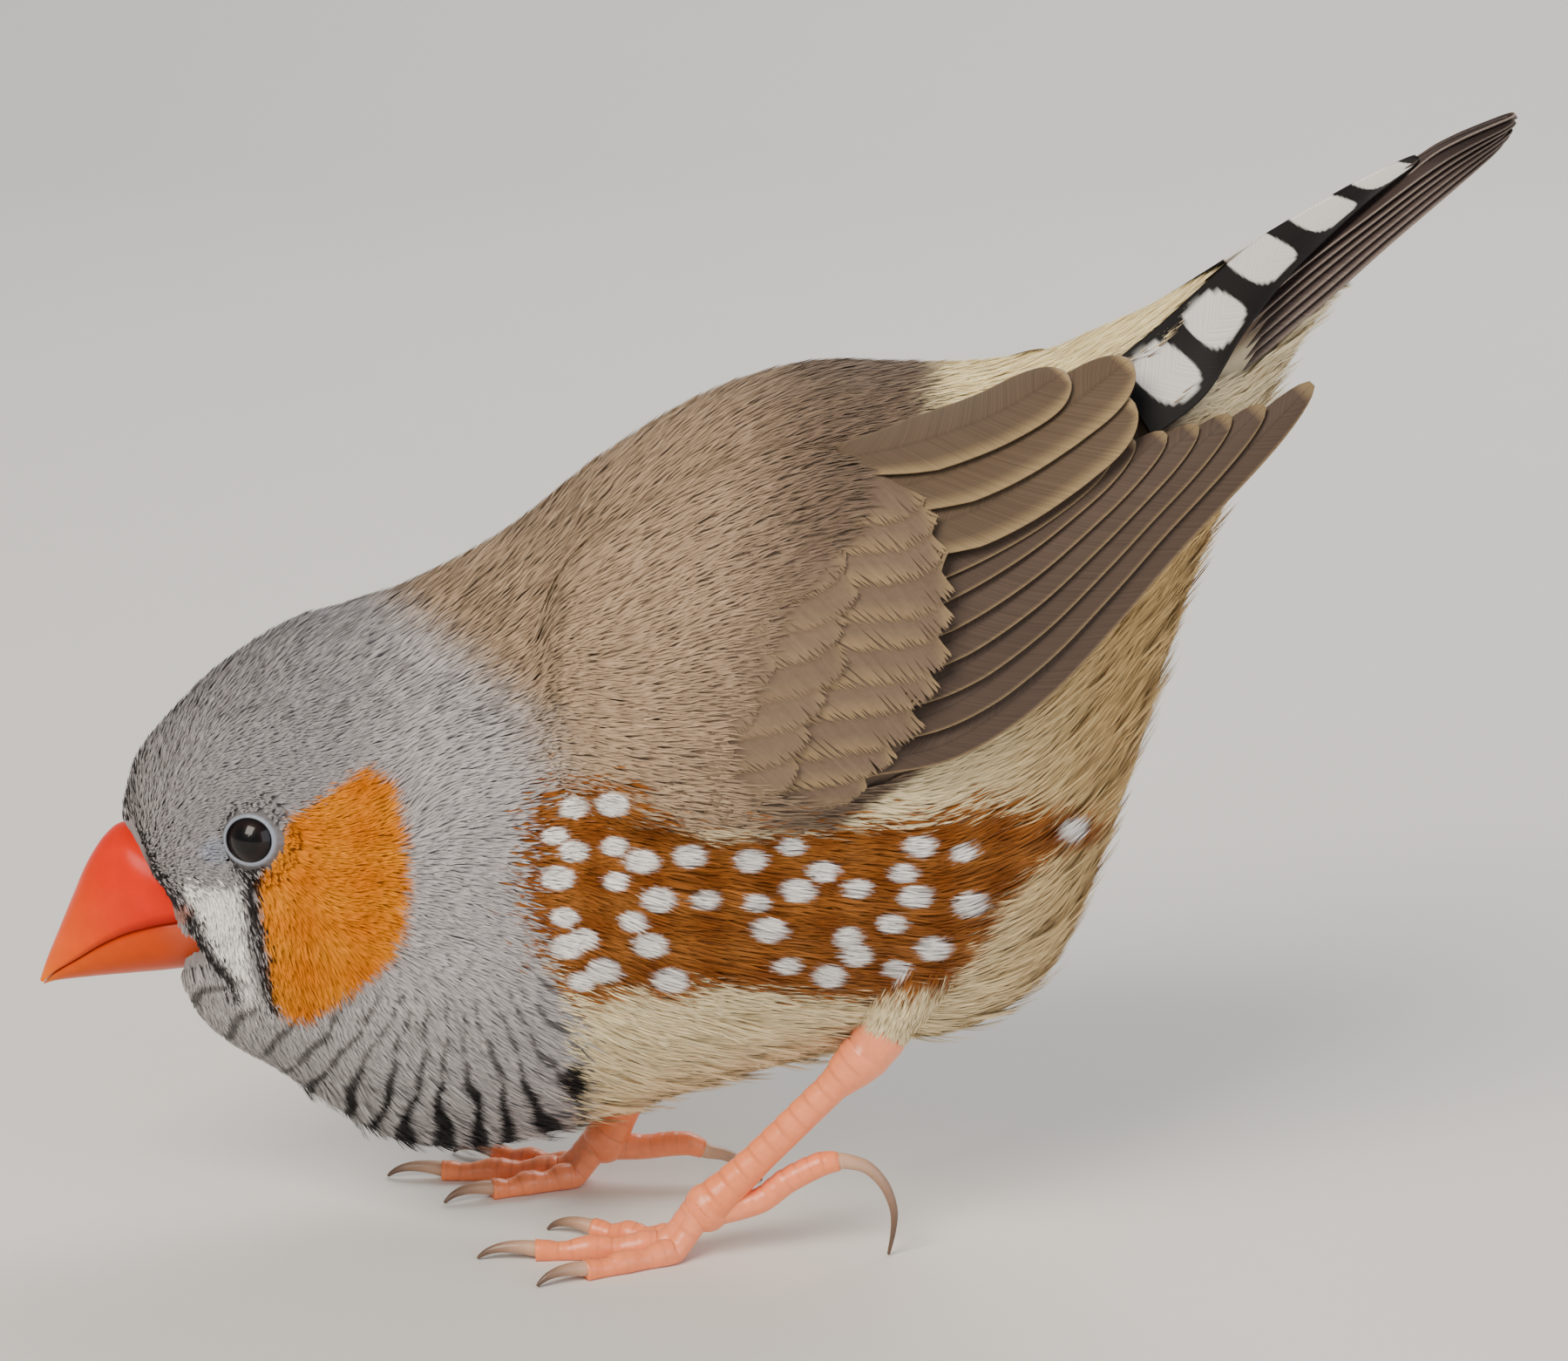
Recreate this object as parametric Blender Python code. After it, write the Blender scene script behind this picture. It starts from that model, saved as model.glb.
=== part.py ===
"""A male zebra finch at life size, crouched on its two feet with the head low and the tail raised.

The bird faces -X, its left side faces -Y, and the floor is Z = 0. Sizes are in millimetres
until a mesh is made. The trunk is one loft along the body, parted into head, neck, torso and
rump. The wings and the tail carry their feathers as overlapping vanes on a shell round the body.
"""

import math

import bmesh
import bpy
import numpy as np
from mathutils import Vector

MM = 0.001
GAP = 0.3
SHARP_FROM = 40.0

# The outline of the body from the bill's base to the tail's root, in the bird's middle plane:
# the back's x and z, the underside's x and z, half the width, and how far down the widest level
# lies, as a share of the height.
BODY_STATIONS = (
    (-42.6, 27.1, -37.2, 17.4, 3.2, 0.56),
    (-41.5, 31.1, -37.9, 14.6, 4.8, 0.60),
    (-39.2, 34.0, -36.0, 12.3, 6.5, 0.59),
    (-35.9, 37.2, -32.6, 10.2, 7.6, 0.58),
    (-31.5, 40.0, -28.7, 7.5, 8.8, 0.56),
    (-27.6, 41.2, -24.6, 5.4, 10.0, 0.55),
    (-23.2, 42.8, -19.4, 5.2, 11.6, 0.54),
    (-17.6, 45.9, -14.2, 6.5, 13.2, 0.52),
    (-10.9, 51.1, -8.0, 8.4, 14.4, 0.50),
    (-4.3, 54.9, -1.1, 10.6, 15.1, 0.50),
    (1.7, 56.6, 6.3, 12.3, 15.0, 0.50),
    (7.4, 56.6, 12.5, 13.6, 13.8, 0.50),
    (12.4, 56.7, 17.4, 17.6, 12.0, 0.48),
    (16.4, 57.3, 21.0, 26.5, 9.9, 0.46),
    (19.6, 58.7, 23.7, 35.6, 8.0, 0.42),
    (22.8, 60.1, 26.1, 43.5, 6.3, 0.36),
    (26.1, 62.0, 28.6, 49.7, 4.7, 0.30),
)

# The shell that the wing feathers lie on, station by station like the body: it keeps its width
# over the narrowing rump and runs on past it to the wing tips.
SHELL_FIRST_STATION = 7
SHELL_STATIONS = (
    (-17.6, 46.4, -14.2, 6.5, 13.7, 0.52),
    (-10.9, 51.7, -8.0, 8.4, 15.0, 0.50),
    (-4.3, 55.5, -1.1, 10.6, 15.9, 0.50),
    (1.7, 57.2, 6.3, 12.3, 16.0, 0.50),
    (7.4, 57.3, 12.5, 13.6, 15.4, 0.50),
    (12.4, 57.5, 17.6, 17.0, 13.8, 0.48),
    (16.4, 58.3, 22.0, 24.0, 12.1, 0.48),
    (19.8, 59.4, 26.0, 31.0, 10.6, 0.48),
    (23.2, 60.8, 29.6, 37.0, 9.4, 0.48),
    (26.8, 62.6, 33.0, 42.5, 8.5, 0.48),
    (30.6, 64.8, 36.4, 48.0, 7.8, 0.48),
    (34.6, 67.0, 40.0, 53.0, 7.3, 0.48),
    (38.8, 69.0, 43.8, 57.8, 7.0, 0.48),
)

BODY_SIDES = 28
HEAD_RINGS, NECK_RINGS, TORSO_RINGS, RUMP_RINGS = 13, 7, 17, 7
HEAD_END, NECK_END, TORSO_END, RUMP_END = 4.2, 6.5, 13.3, 15.7

# Bill: culmen, mouth line and gonys as x and z, from inside the face to the tip. The mouth line
# runs at the bill's full width and the other two down its middle. The gonys ends a row short, as
# the upper half hooks over the lower.
CULMEN = (
    (-39.8, 26.2),
    (-42.3, 26.7),
    (-43.6, 26.0),
    (-44.9, 24.1),
    (-45.9, 21.9),
    (-46.9, 19.6),
    (-47.8, 17.5),
    (-48.3, 16.1),
)
MOUTH = (
    (-35.8, 21.6),
    (-38.2, 21.3),
    (-40.1, 20.9),
    (-42.1, 20.2),
    (-43.9, 19.2),
    (-45.6, 18.0),
    (-47.1, 16.9),
    (-48.05, 15.95),
)
GONYS = (
    (-34.4, 18.6),
    (-37.2, 17.4),
    (-39.6, 17.0),
    (-41.9, 16.75),
    (-43.9, 16.55),
    (-45.6, 16.35),
    (-46.9, 16.15),
)
BILL_HALF_WIDTHS = (4.2, 4.2, 3.9, 3.35, 2.7, 1.9, 0.95, 0.28)
LOWER_BILL_SHARE = 0.93
BILL_SIDES = 8
SOCKET_RINGS = 3
SOCKET_ROOM = 0.9
MOUTH_GAP = 0.36
NOSTRIL = (-42.3, 2.5, 25.0)
NOSTRIL_RADIUS = 0.45
NOSTRIL_SIDES = 8

EYE_STATION, EYE_ANGLE = 3.32, 68.6
EYE_RADIUS = 2.0
EYE_SIDES = 20
SOCKET_GAP = 0.33
EYE_SUNK = 1.35
LID_RING_RADIUS, LID_THICKNESS, LID_RISE = 1.75, 0.36, 0.2
LID_STEPS, LID_SIDES = 18, 6

# Legs: x, y and z of the thigh's root, the ankle and the knuckle where the toes part
LEFT_LEG = {
    "side": "left",
    "hip": (8.6, -8.0, 21.5),
    "ankle": (6.0, -8.0, 14.9),
    "knuckle": (-4.9, -7.5, 3.3),
    "hind_toe": ((0.6, 3.1), (3.3, 3.75), (5.1, 5.1), (7.2, 6.2), (8.4, 6.4)),
    "hind_claw": ((8.9, 6.4), (10.2, 6.0), (11.3, 4.8), (11.9, 3.2), (11.9, 1.7), (11.6, 0.1)),
}
RIGHT_LEG = {
    "side": "right",
    "hip": (-1.8, 9.8, 20.8),
    "ankle": (-4.9, 6.6, 15.2),
    "knuckle": (-12.0, 5.6, 3.0),
    "hind_toe": ((0.6, 2.6), (2.6, 2.5), (4.3, 2.7), (5.6, 2.7), (6.6, 2.3)),
    "hind_claw": ((7.0, 2.15), (8.0, 1.95), (9.1, 1.4), (9.9, 0.75), (10.3, 0.3), (10.5, 0.1)),
}
THIGH_SHARES = (0.0, 0.4, 0.75, 0.96)
THIGH_RADII = (3.6, 3.3, 2.6, 1.9)
THIGH_SIDES = 14
ANKLE_ROOM = 0.5
SHANK_SHARES = (0.0, 0.05, 0.13, 0.25, 0.7)
SHANK_RADII = (1.2, 1.65, 1.5, 1.05, 1.05, 1.2)
KNUCKLE_RADIUS = 1.75
KNUCKLE_SIDES = 12
KNUCKLE_NECK = 3.4
FOOT_NECK_RADII = (1.2, 1.5, 1.5)
TUBE_SIDES = 10

# Front toes: name, heading in degrees out from straight ahead, length, radius at root and end
TOES = (
    ("inner", -22.0, 7.6, 0.95, 0.68),
    ("middle", 3.0, 10.6, 1.0, 0.66),
    ("outer", 27.0, 8.2, 0.9, 0.64),
)
TOE_STEPS = 9
TOE_SIDES = 8
TOE_PADS = 3
PAD_SWELL = 0.1
TOE_START = 0.4
TOE_DROP, TOE_DROP_POWER = 0.26, 1.3
TOE_FLAT = 0.1
HIND_TOE_RADII = (1.0, 0.85, 0.85, 0.8, 0.62)
CLAW_LENGTHS = {"inner": 2.9, "middle": 3.3, "outer": 2.9}
CLAW_ROOT_RADIUS, CLAW_TIP_RADIUS = 0.48, 0.12
CLAW_GAP = 0.4
CLAW_STEPS, CLAW_SIDES = 6, 8
CLAW_BEND, CLAW_FALL, CLAW_ARCH = 1.25, 1.8, 0.4
CLAW_TAPER = 1.2

# Wing core: the folded arm under its small feathers, as stations along the body with the
# degrees round it of the upper and the lower edge.
ARM_EDGES = (
    (7.2, 46.0, 60.0),
    (7.5, 38.0, 76.0),
    (8.0, 34.0, 87.0),
    (8.8, 33.0, 96.0),
    (9.6, 34.0, 96.0),
    (10.3, 38.0, 93.0),
    (10.9, 43.0, 89.0),
)
ARM_THICKNESS, ARM_EDGE = 2.5, 0.5
ARM_CLEAR = 0.4
ARM_RISE = 0.4
ARM_STEPS, ARM_ROUND = 10, 8

# Vanes: how thick, and how much higher each lies than the next one below it
VANE_THICKNESS = 0.5
LAYER = 0.92
VANE_STEPS = 6
VANE_ROOT_WIDTH = 0.55
VANE_FULL_FROM, VANE_ROUND_FROM = 0.3, 0.72
VANE_END_CUT, VANE_END_POWER = 0.93, 2.4

# Wing feathers by tier from the upper edge down: root and tip as station and degrees, width.
TERTIALS = (
    ((10.2, 40.5), (13.15, 31.0), 4.0),
    ((10.2, 47.5), (14.25, 37.5), 4.2),
    ((10.3, 55.0), (14.1, 48.0), 4.2),
)
# A pitch is how far apart neighbours lie at the root and at the tip, and lifts are how high
# their upper edges lie there.
TERTIAL_PITCH = (1.8, 2.05)
TERTIAL_LIFTS = (0.05, 0.5)
FLIGHT_FEATHERS = (
    ((10.3, 64.5), (14.0, 57.0)),
    ((10.3, 69.5), (14.5, 61.1)),
    ((10.3, 74.5), (15.0, 65.6)),
    ((10.3, 79.5), (15.5, 70.4)),
    ((10.2, 84.5), (16.0, 75.8)),
    ((10.1, 89.5), (16.7, 83.0)),
)
FLIGHT_WIDTH, FLIGHT_PITCH = 2.15, (1.7, 0.88)
FLIGHT_LIFTS = (0.05, 0.05)
FLIGHT_BOW = -2.0
COVERTS = (
    ((8.9, 49.0), (11.15, 52.0)),
    ((8.8, 57.0), (11.1, 60.5)),
    ((8.7, 65.0), (10.95, 68.5)),
    ((8.5, 73.0), (10.75, 76.5)),
    ((8.3, 81.0), (10.5, 84.5)),
    ((8.2, 89.0), (10.3, 93.2)),
)
COVERT_WIDTH, COVERT_PITCH = 3.6, (2.3, 2.3)
COVERT_LIFTS = (-0.4, 2.6)

# Tail: the root and the tip of its middle feathers as x and z, and how far they bow upwards
TAIL_ROOT = (24.4, 57.6)
TAIL_TIP = (44.9, 71.1)
TAIL_BOW = 1.6
TAIL_PAIRS = 4
TAIL_FEATHER_WIDTH = 2.6
TAIL_FIRST_SIDE, TAIL_SIDE_STEP = 1.45, 0.85
TAIL_ROOT_DROP, TAIL_TIP_DROP = 1.0, 0.9
TAIL_SHORTER = 2.2
TAIL_VANE_START = 3.4
TAIL_SLOPE = 0.06

# Feathers over and under the tail, by pair: length along it, then distance out to the side
# and height over the middle tail feathers, each at the root and at the tip, the width and how
# steeply the outer edge falls.
OVER_TAIL = (
    (16.8, 1.6, 1.55, 0.95, 0.85, 2.7, 0.06),
    (14.2, 4.38, 4.23, -0.6, -0.4, 2.1, 1.2),
)
UNDER_TAIL = (
    (8.8, 1.55, 1.5, -5.8, -5.4, 2.6, 0.06),
    (6.4, 3.4, 3.2, -6.9, -6.5, 2.6, 0.06),
    (4.2, 1.55, 1.5, -8.8, -8.3, 2.6, 0.06),
    (1.6, 1.5, 1.4, -11.4, -10.7, 2.4, 0.06),
)
COVERT_START = -3.5

# The core that holds the tail feathers' roots: distance along, half width, lowest and highest.
# Its front leans like the rump's end that it faces.
TAIL_CORE = ((2.45, 4.1, -4.8, 0.4), (5.0, 4.2, -4.4, 0.3), (8.4, 3.2, -2.9, 0.3))
TAIL_CORE_SIDES = 12
TAIL_CORE_LEAN = 0.45


def clear_scene():
    for item in list(bpy.data.objects):
        bpy.data.objects.remove(item)


def new_collection(name):
    collection = bpy.data.collections.new(name)
    bpy.context.scene.collection.children.link(collection)
    return collection


def material(name, colour, roughness):
    """A Principled finish. colour is linear red, green and blue."""
    made = bpy.data.materials.new(name)
    made.use_nodes = True
    shader = made.node_tree.nodes["Principled BSDF"]
    shader.inputs["Base Color"].default_value = (*colour, 1.0)
    shader.inputs["Roughness"].default_value = roughness
    shader.inputs["Metallic"].default_value = 0.0
    made.diffuse_color = (*colour, 1.0)
    return made


def through(rows, at):
    """The row of a table at a fractional index, on a smooth curve through its rows."""
    rows = np.asarray(rows, float)
    at = min(max(at, 0.0), len(rows) - 1.0)
    low = min(int(at), len(rows) - 2)
    share = at - low
    before = rows[max(low - 1, 0)]
    after = rows[min(low + 2, len(rows) - 1)]
    start, end = rows[low], rows[low + 1]
    rise = (end - before) / 2
    fall = (after - start) / 2
    square, cube = share**2, share**3
    return (
        start * (2 * cube - 3 * square + 1)
        + rise * (cube - 2 * square + share)
        + end * (3 * square - 2 * cube)
        + fall * (cube - square)
    )


def on_section(row, degrees):
    """The point at an angle round one section: 0 is the back, 90 the left side, 180 the belly."""
    back_x, back_z, foot_x, foot_z, half_width, widest = row
    angle = math.radians(degrees)
    across = math.cos(angle)
    down = widest * (1 - across) if across > 0 else widest - (1 - widest) * across
    return np.array(
        (
            back_x + (foot_x - back_x) * down,
            -half_width * math.sin(angle),
            back_z + (foot_z - back_z) * down,
        )
    )


def body_point(station, degrees, lift=0.0):
    return lifted(BODY_STATIONS, station, degrees, lift)


def shell_point(station, degrees, lift=0.0):
    return lifted(SHELL_STATIONS, station - SHELL_FIRST_STATION, degrees, lift)


def lifted(table, at, degrees, lift):
    """A point of a lofted surface, raised along the surface's outward normal."""
    point = on_section(through(table, at), degrees)
    if lift == 0.0:
        return point
    along, around = directions(table, at, degrees)
    normal = np.cross(around, along)
    return point + normal * (lift / np.linalg.norm(normal))


def directions(table, at, degrees):
    """How the surface moves per station and per degree."""
    step, turn = 0.05, 1.0
    last = len(table) - 1.0
    ahead, behind = min(at + step, last), max(at - step, 0.0)
    along = on_section(through(table, ahead), degrees) - on_section(through(table, behind), degrees)
    row = through(table, at)
    around = on_section(row, degrees + turn) - on_section(row, degrees - turn)
    return along / (ahead - behind), around / (2 * turn)


def object_from(name, mesh_data, collection, finish=None, turn_out=True):
    """An object from a bmesh in millimetres, with its faces pointing out."""
    if turn_out:
        bmesh.ops.recalc_face_normals(mesh_data, faces=mesh_data.faces)
    for vertex in mesh_data.verts:
        vertex.co *= MM
    mesh = bpy.data.meshes.new(name)
    mesh_data.to_mesh(mesh)
    mesh_data.free()
    made = bpy.data.objects.new(name, mesh)
    collection.objects.link(made)
    if finish:
        mesh.materials.append(finish)
    return made


def lofted(name, rings, collection, finish=None):
    """A closed solid through rings of like count, capped flat at both ends."""
    shape = bmesh.new()
    loops = [[shape.verts.new(Vector(point)) for point in ring] for ring in rings]
    for first, second in zip(loops, loops[1:]):
        for place in range(len(first)):
            after = (place + 1) % len(first)
            shape.faces.new((first[place], first[after], second[after], second[place]))
    shape.faces.new(loops[0])
    shape.faces.new(list(reversed(loops[-1])))
    return object_from(name, shape, collection, finish)


def shade(target):
    """Smooth shading with the sharp edges kept."""
    target.data.shade_smooth()
    target.data.set_sharp_from_angle(angle=math.radians(SHARP_FROM))


def joined(name, base, pieces):
    """base with the closed pieces of a collection fused to it, as one closed body."""
    group = bpy.data.collections.new(name + " pieces")
    for piece in pieces:
        group.objects.link(piece)
    apply_boolean(base, "UNION", group=group)
    for piece in pieces:
        bpy.data.objects.remove(piece)
    bpy.data.collections.remove(group)
    base.name = name
    keep_largest(base)
    return base


def apply_boolean(target, operation, group=None, cutter=None):
    modifier = target.modifiers.new(operation.lower(), "BOOLEAN")
    modifier.operation = operation
    modifier.solver = "EXACT"
    if group:
        modifier.operand_type = "COLLECTION"
        modifier.collection = group
    else:
        modifier.object = cutter
    bpy.context.view_layer.update()
    evaluated = target.evaluated_get(bpy.context.evaluated_depsgraph_get())
    mesh = bpy.data.meshes.new_from_object(evaluated)
    target.modifiers.clear()
    target.data = mesh


def cut(target, cutter):
    """target with the cutter's volume taken away. The cutter is then removed."""
    apply_boolean(target, "DIFFERENCE", cutter=cutter)
    bpy.data.objects.remove(cutter)
    keep_largest(target)


def keep_largest(target):
    """Leaves only the largest connected surface, so that a node is one closed body."""
    shape = bmesh.new()
    shape.from_mesh(target.data)
    left = set(shape.verts)
    groups = []
    while left:
        todo = [left.pop()]
        group = set(todo)
        while todo:
            for edge in todo.pop().link_edges:
                for vertex in edge.verts:
                    if vertex in left:
                        left.remove(vertex)
                        group.add(vertex)
                        todo.append(vertex)
        groups.append(group)
    groups.sort(key=len)
    drop = [vertex for group in groups[:-1] for vertex in group]
    bmesh.ops.delete(shape, geom=drop, context="VERTS")
    bmesh.ops.triangulate(shape, faces=shape.faces)
    shape.to_mesh(target.data)
    shape.free()


def mirrored(name, source, collection, finish):
    """A copy of a solid on the bird's other side."""
    shape = bmesh.new()
    shape.from_mesh(source.data)
    for vertex in shape.verts:
        vertex.co.y = -vertex.co.y
        vertex.co /= MM
    bmesh.ops.reverse_faces(shape, faces=shape.faces)
    made = object_from(name, shape, collection, finish, turn_out=False)
    shade(made)
    return made


def trunk_piece(name, start, end, rings, collection, finish):
    """One length of the body between two cuts, each half the touching gap short of the cut."""
    first = start + half_gap(start) if start > 0 else start
    last = end - half_gap(end)
    stations = np.linspace(first, last, rings)
    angles = np.arange(BODY_SIDES) * 360.0 / BODY_SIDES
    made = lofted(
        name, [[body_point(at, angle) for angle in angles] for at in stations], collection, finish
    )
    shade(made)
    return made


def half_gap(station):
    """Half the touching gap in stations, taken where the body's cuts lie closest together."""
    back_x, back_z, foot_x, foot_z, _, _ = through(BODY_STATIONS, station)
    across = np.array((back_z - foot_z, 0.0, foot_x - back_x))
    across /= np.linalg.norm(across)
    steps = [abs(directions(BODY_STATIONS, station, angle)[0] @ across) for angle in (0.0, 180.0)]
    return GAP / 2 / min(steps)


def sphere(name, centre, radius, collection, sides, finish=None):
    shape = bmesh.new()
    bmesh.ops.create_uvsphere(shape, u_segments=sides, v_segments=sides // 2 + 2, radius=radius)
    bmesh.ops.translate(shape, verts=shape.verts, vec=Vector(centre))
    return object_from(name, shape, collection, finish)


def lid_ring(centre, axis, collection):
    """The bare rim round an eye, a thin torus that looks along an axis."""
    turn = Vector((0, 0, 1)).rotation_difference(axis)
    up = turn @ Vector((0, 0, 1))
    shape = bmesh.new()
    loops = []
    for step in range(LID_STEPS):
        around = math.tau * step / LID_STEPS
        out = turn @ Vector((math.cos(around), math.sin(around), 0))
        middle = centre + out * LID_RING_RADIUS
        loop = []
        for side in range(LID_SIDES):
            angle = math.tau * side / LID_SIDES
            reach = out * math.cos(angle) + up * math.sin(angle)
            loop.append(shape.verts.new(middle + reach * LID_THICKNESS))
        loops.append(loop)
    for first, second in zip(loops, loops[1:] + loops[:1]):
        for side in range(LID_SIDES):
            after = (side + 1) % LID_SIDES
            shape.faces.new((first[side], first[after], second[after], second[side]))
    return object_from("lid", shape, collection)


def tube(name, points, radii, sides, collection, finish=None, floor=False):
    """A closed tube of changing radius along points. With floor, its underside is flat at z = 0."""
    points = [Vector(point) for point in points]
    rings = []
    side_way = None
    for place, point in enumerate(points):
        before = points[max(place - 1, 0)]
        after = points[min(place + 1, len(points) - 1)]
        ahead = (after - before).normalized()
        if side_way is None:
            side_way = ahead.cross(Vector((0, 0, 1)))
            if side_way.length < 0.1:
                side_way = ahead.cross(Vector((0, 1, 0)))
        side_way = (side_way - ahead * side_way.dot(ahead)).normalized()
        up = side_way.cross(ahead)
        ring = []
        for step in range(sides):
            around = math.tau * (step + 0.5) / sides
            spot = point + (side_way * math.cos(around) + up * math.sin(around)) * radii[place]
            if floor:
                spot.z = max(spot.z, 0.0)
            ring.append(spot)
        rings.append(ring)
    return lofted(name, rings, collection, finish)


def vane_rings(spots):
    """Cross-sections of a vane: spots(share, across, lift) gives a point of the layer it lies in."""
    rings = []
    for share in np.linspace(0.0, 1.0, VANE_STEPS):
        upper = [spots(share, across, VANE_THICKNESS) for across in (-1.0, 0.0, 1.0)]
        lower = [spots(share, across, 0.0) for across in (1.0, 0.0, -1.0)]
        rings.append(upper + lower)
    return rings


def vane_width(share):
    """The width of a long feather along its length, as a share of its widest."""
    root = VANE_ROOT_WIDTH + (1 - VANE_ROOT_WIDTH) * min(share / VANE_FULL_FROM, 1.0)
    past = min(max(share - VANE_ROUND_FROM, 0.0) / (1 - VANE_ROUND_FROM), 1.0)
    return root * math.sqrt(1.0 - VANE_END_CUT * past**VANE_END_POWER)


def flat_triangles(shape, rings):
    """Joins vane cross-sections with triangles alike on both faces."""
    loops = [[shape.verts.new(Vector(point)) for point in ring] for ring in rings]
    count = len(loops[0])
    half = count // 2
    for first, second in zip(loops, loops[1:]):
        for place in range(count):
            after = (place + 1) % count
            a, b, c, d = first[place], first[after], second[after], second[place]
            if place < half - 1:
                shape.faces.new((a, b, c))
                shape.faces.new((a, c, d))
            else:
                shape.faces.new((a, b, d))
                shape.faces.new((b, c, d))
    for loop in (loops[0], loops[-1]):
        for place in range(half - 1):
            mate = count - 1 - place
            quad = (loop[place], loop[place + 1], loop[mate - 1], loop[mate])
            shape.faces.new(quad)


def vane(name, spots, collection):
    shape = bmesh.new()
    flat_triangles(shape, vane_rings(spots))
    return object_from(name, shape, collection)


def on_shell(root, tip, width, pitch, lifts, bow=0.0):
    """Places a vane on the wing shell, its lower edge standing off over the next vane.

    root and tip are station and degrees. pitch is how far the next vane lies from it, and lifts
    are the heights of its upper edge over the shell, both at the root and at the tip.
    """

    def spots(share, across, lift):
        at = root[0] + (tip[0] - root[0]) * share
        angle = root[1] + (tip[1] - root[1]) * share + bow * math.sin(math.pi * share)
        run = tip[0] - root[0]
        turn = tip[1] - root[1] + bow * math.pi * math.cos(math.pi * share)
        along, around = directions(SHELL_STATIONS, at - SHELL_FIRST_STATION, angle)
        stretch, skew, girth = along @ along, along @ around, around @ around
        move = np.array((-(run * skew + turn * girth), run * stretch + turn * skew))
        length = np.linalg.norm(move[0] * along + move[1] * around)
        half = width / 2 * vane_width(share)
        reach = across * half / length
        base = lifts[0] + (lifts[1] - lifts[0]) * math.sqrt(share)
        slope = LAYER / (pitch[0] + (pitch[1] - pitch[0]) * share)
        stand = base + slope * (width / 2 + across * half)
        return shell_point(at + move[0] * reach, angle + move[1] * reach, stand + lift)

    return spots


def arm_core(collection, finish):
    """The folded arm: a pad that lies on the body with the touching gap, thickest in its middle."""
    shape = bmesh.new()
    inner, outer = [], []
    for step in range(ARM_STEPS + 1):
        run = step / ARM_STEPS
        at, top, foot = through(ARM_EDGES, run * (len(ARM_EDGES) - 1))
        swell = math.sin(math.pi / 2 * min(run / ARM_RISE, 1.0))
        inner_row, outer_row = [], []
        for turn in range(ARM_ROUND + 1):
            side = turn / ARM_ROUND
            angle = top + (foot - top) * side
            thickness = ARM_EDGE + ARM_THICKNESS * swell * (1 - (2 * side - 1) ** 4)
            outer_row.append(shape.verts.new(body_point(at, angle, ARM_CLEAR + thickness)))
            inner_row.append(shape.verts.new(body_point(at, angle, ARM_CLEAR)))
        inner.append(inner_row)
        outer.append(outer_row)
    for rows in (outer, inner):
        for first, second in zip(rows, rows[1:]):
            for place in range(ARM_ROUND):
                shape.faces.new((first[place], first[place + 1], second[place + 1], second[place]))
    rim_in, rim_out = (rim_of(rows) for rows in (inner, outer))
    for place in range(len(rim_in)):
        after = (place + 1) % len(rim_in)
        shape.faces.new((rim_in[place], rim_in[after], rim_out[after], rim_out[place]))
    return object_from("arm", shape, collection, finish)


def rim_of(rows):
    """The vertices round the edge of a grid, in order."""
    return (
        rows[0]
        + [row[-1] for row in rows[1:-1]]
        + rows[-1][::-1]
        + [row[0] for row in rows[-2:0:-1]]
    )


def wing_vanes(collection):
    pieces = []
    for root, tip in FLIGHT_FEATHERS:
        spots = on_shell(root, tip, FLIGHT_WIDTH, FLIGHT_PITCH, FLIGHT_LIFTS, FLIGHT_BOW)
        pieces.append(vane("flight feather", spots, collection))
    for root, tip, width in TERTIALS:
        spots = on_shell(root, tip, width, TERTIAL_PITCH, TERTIAL_LIFTS)
        pieces.append(vane("tertial", spots, collection))
    for root, tip in COVERTS:
        spots = on_shell(root, tip, COVERT_WIDTH, COVERT_PITCH, COVERT_LIFTS)
        pieces.append(vane("wing covert", spots, collection))
    return pieces


def make_wing(collection, finish):
    core = arm_core(collection, finish)
    wing = joined("wing_left", core, wing_vanes(collection))
    shade(wing)
    return wing


def on_tail(start, end, sides, heights, width, slope):
    """Places a vane by distance along the tail, out to the side and up from its middle feathers.

    sides and heights each hold the value at the root and at the tip. slope is the fall of the
    vane to its right, and the vane's thickness stands square to it.
    """
    root = Vector((TAIL_ROOT[0], 0, TAIL_ROOT[1]))
    run = Vector((TAIL_TIP[0], 0, TAIL_TIP[1])) - root
    axis = run.normalized()
    up = Vector((-axis.z, 0, axis.x))
    square = math.hypot(slope, 1.0)

    def spots(share, across, lift):
        along = start + (end - start) * share
        half = across * width / 2 * vane_width(share)
        side = sides[0] + (sides[1] - sides[0]) * share + half + lift * slope / square
        height = heights[0] + (heights[1] - heights[0]) * share - slope * half + lift / square
        height += TAIL_BOW * math.sin(math.pi * along / run.length)
        place = root + axis * along + up * height
        return (place.x, side, place.z)

    return spots


def tail_vanes(collection):
    length = math.dist(TAIL_ROOT, TAIL_TIP)
    pieces = []
    for side in (-1, 1):
        for pair in range(TAIL_PAIRS):
            end = length - TAIL_SHORTER * pair
            out = side * (TAIL_FIRST_SIDE + TAIL_SIDE_STEP * pair)
            heights = (-TAIL_ROOT_DROP * pair, -TAIL_TIP_DROP * pair)
            slope = side * TAIL_SLOPE
            spots = on_tail(
                TAIL_VANE_START, end, (out, out), heights, TAIL_FEATHER_WIDTH, slope
            )
            pieces.append(vane("tail feather", spots, collection))
    return pieces


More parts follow.
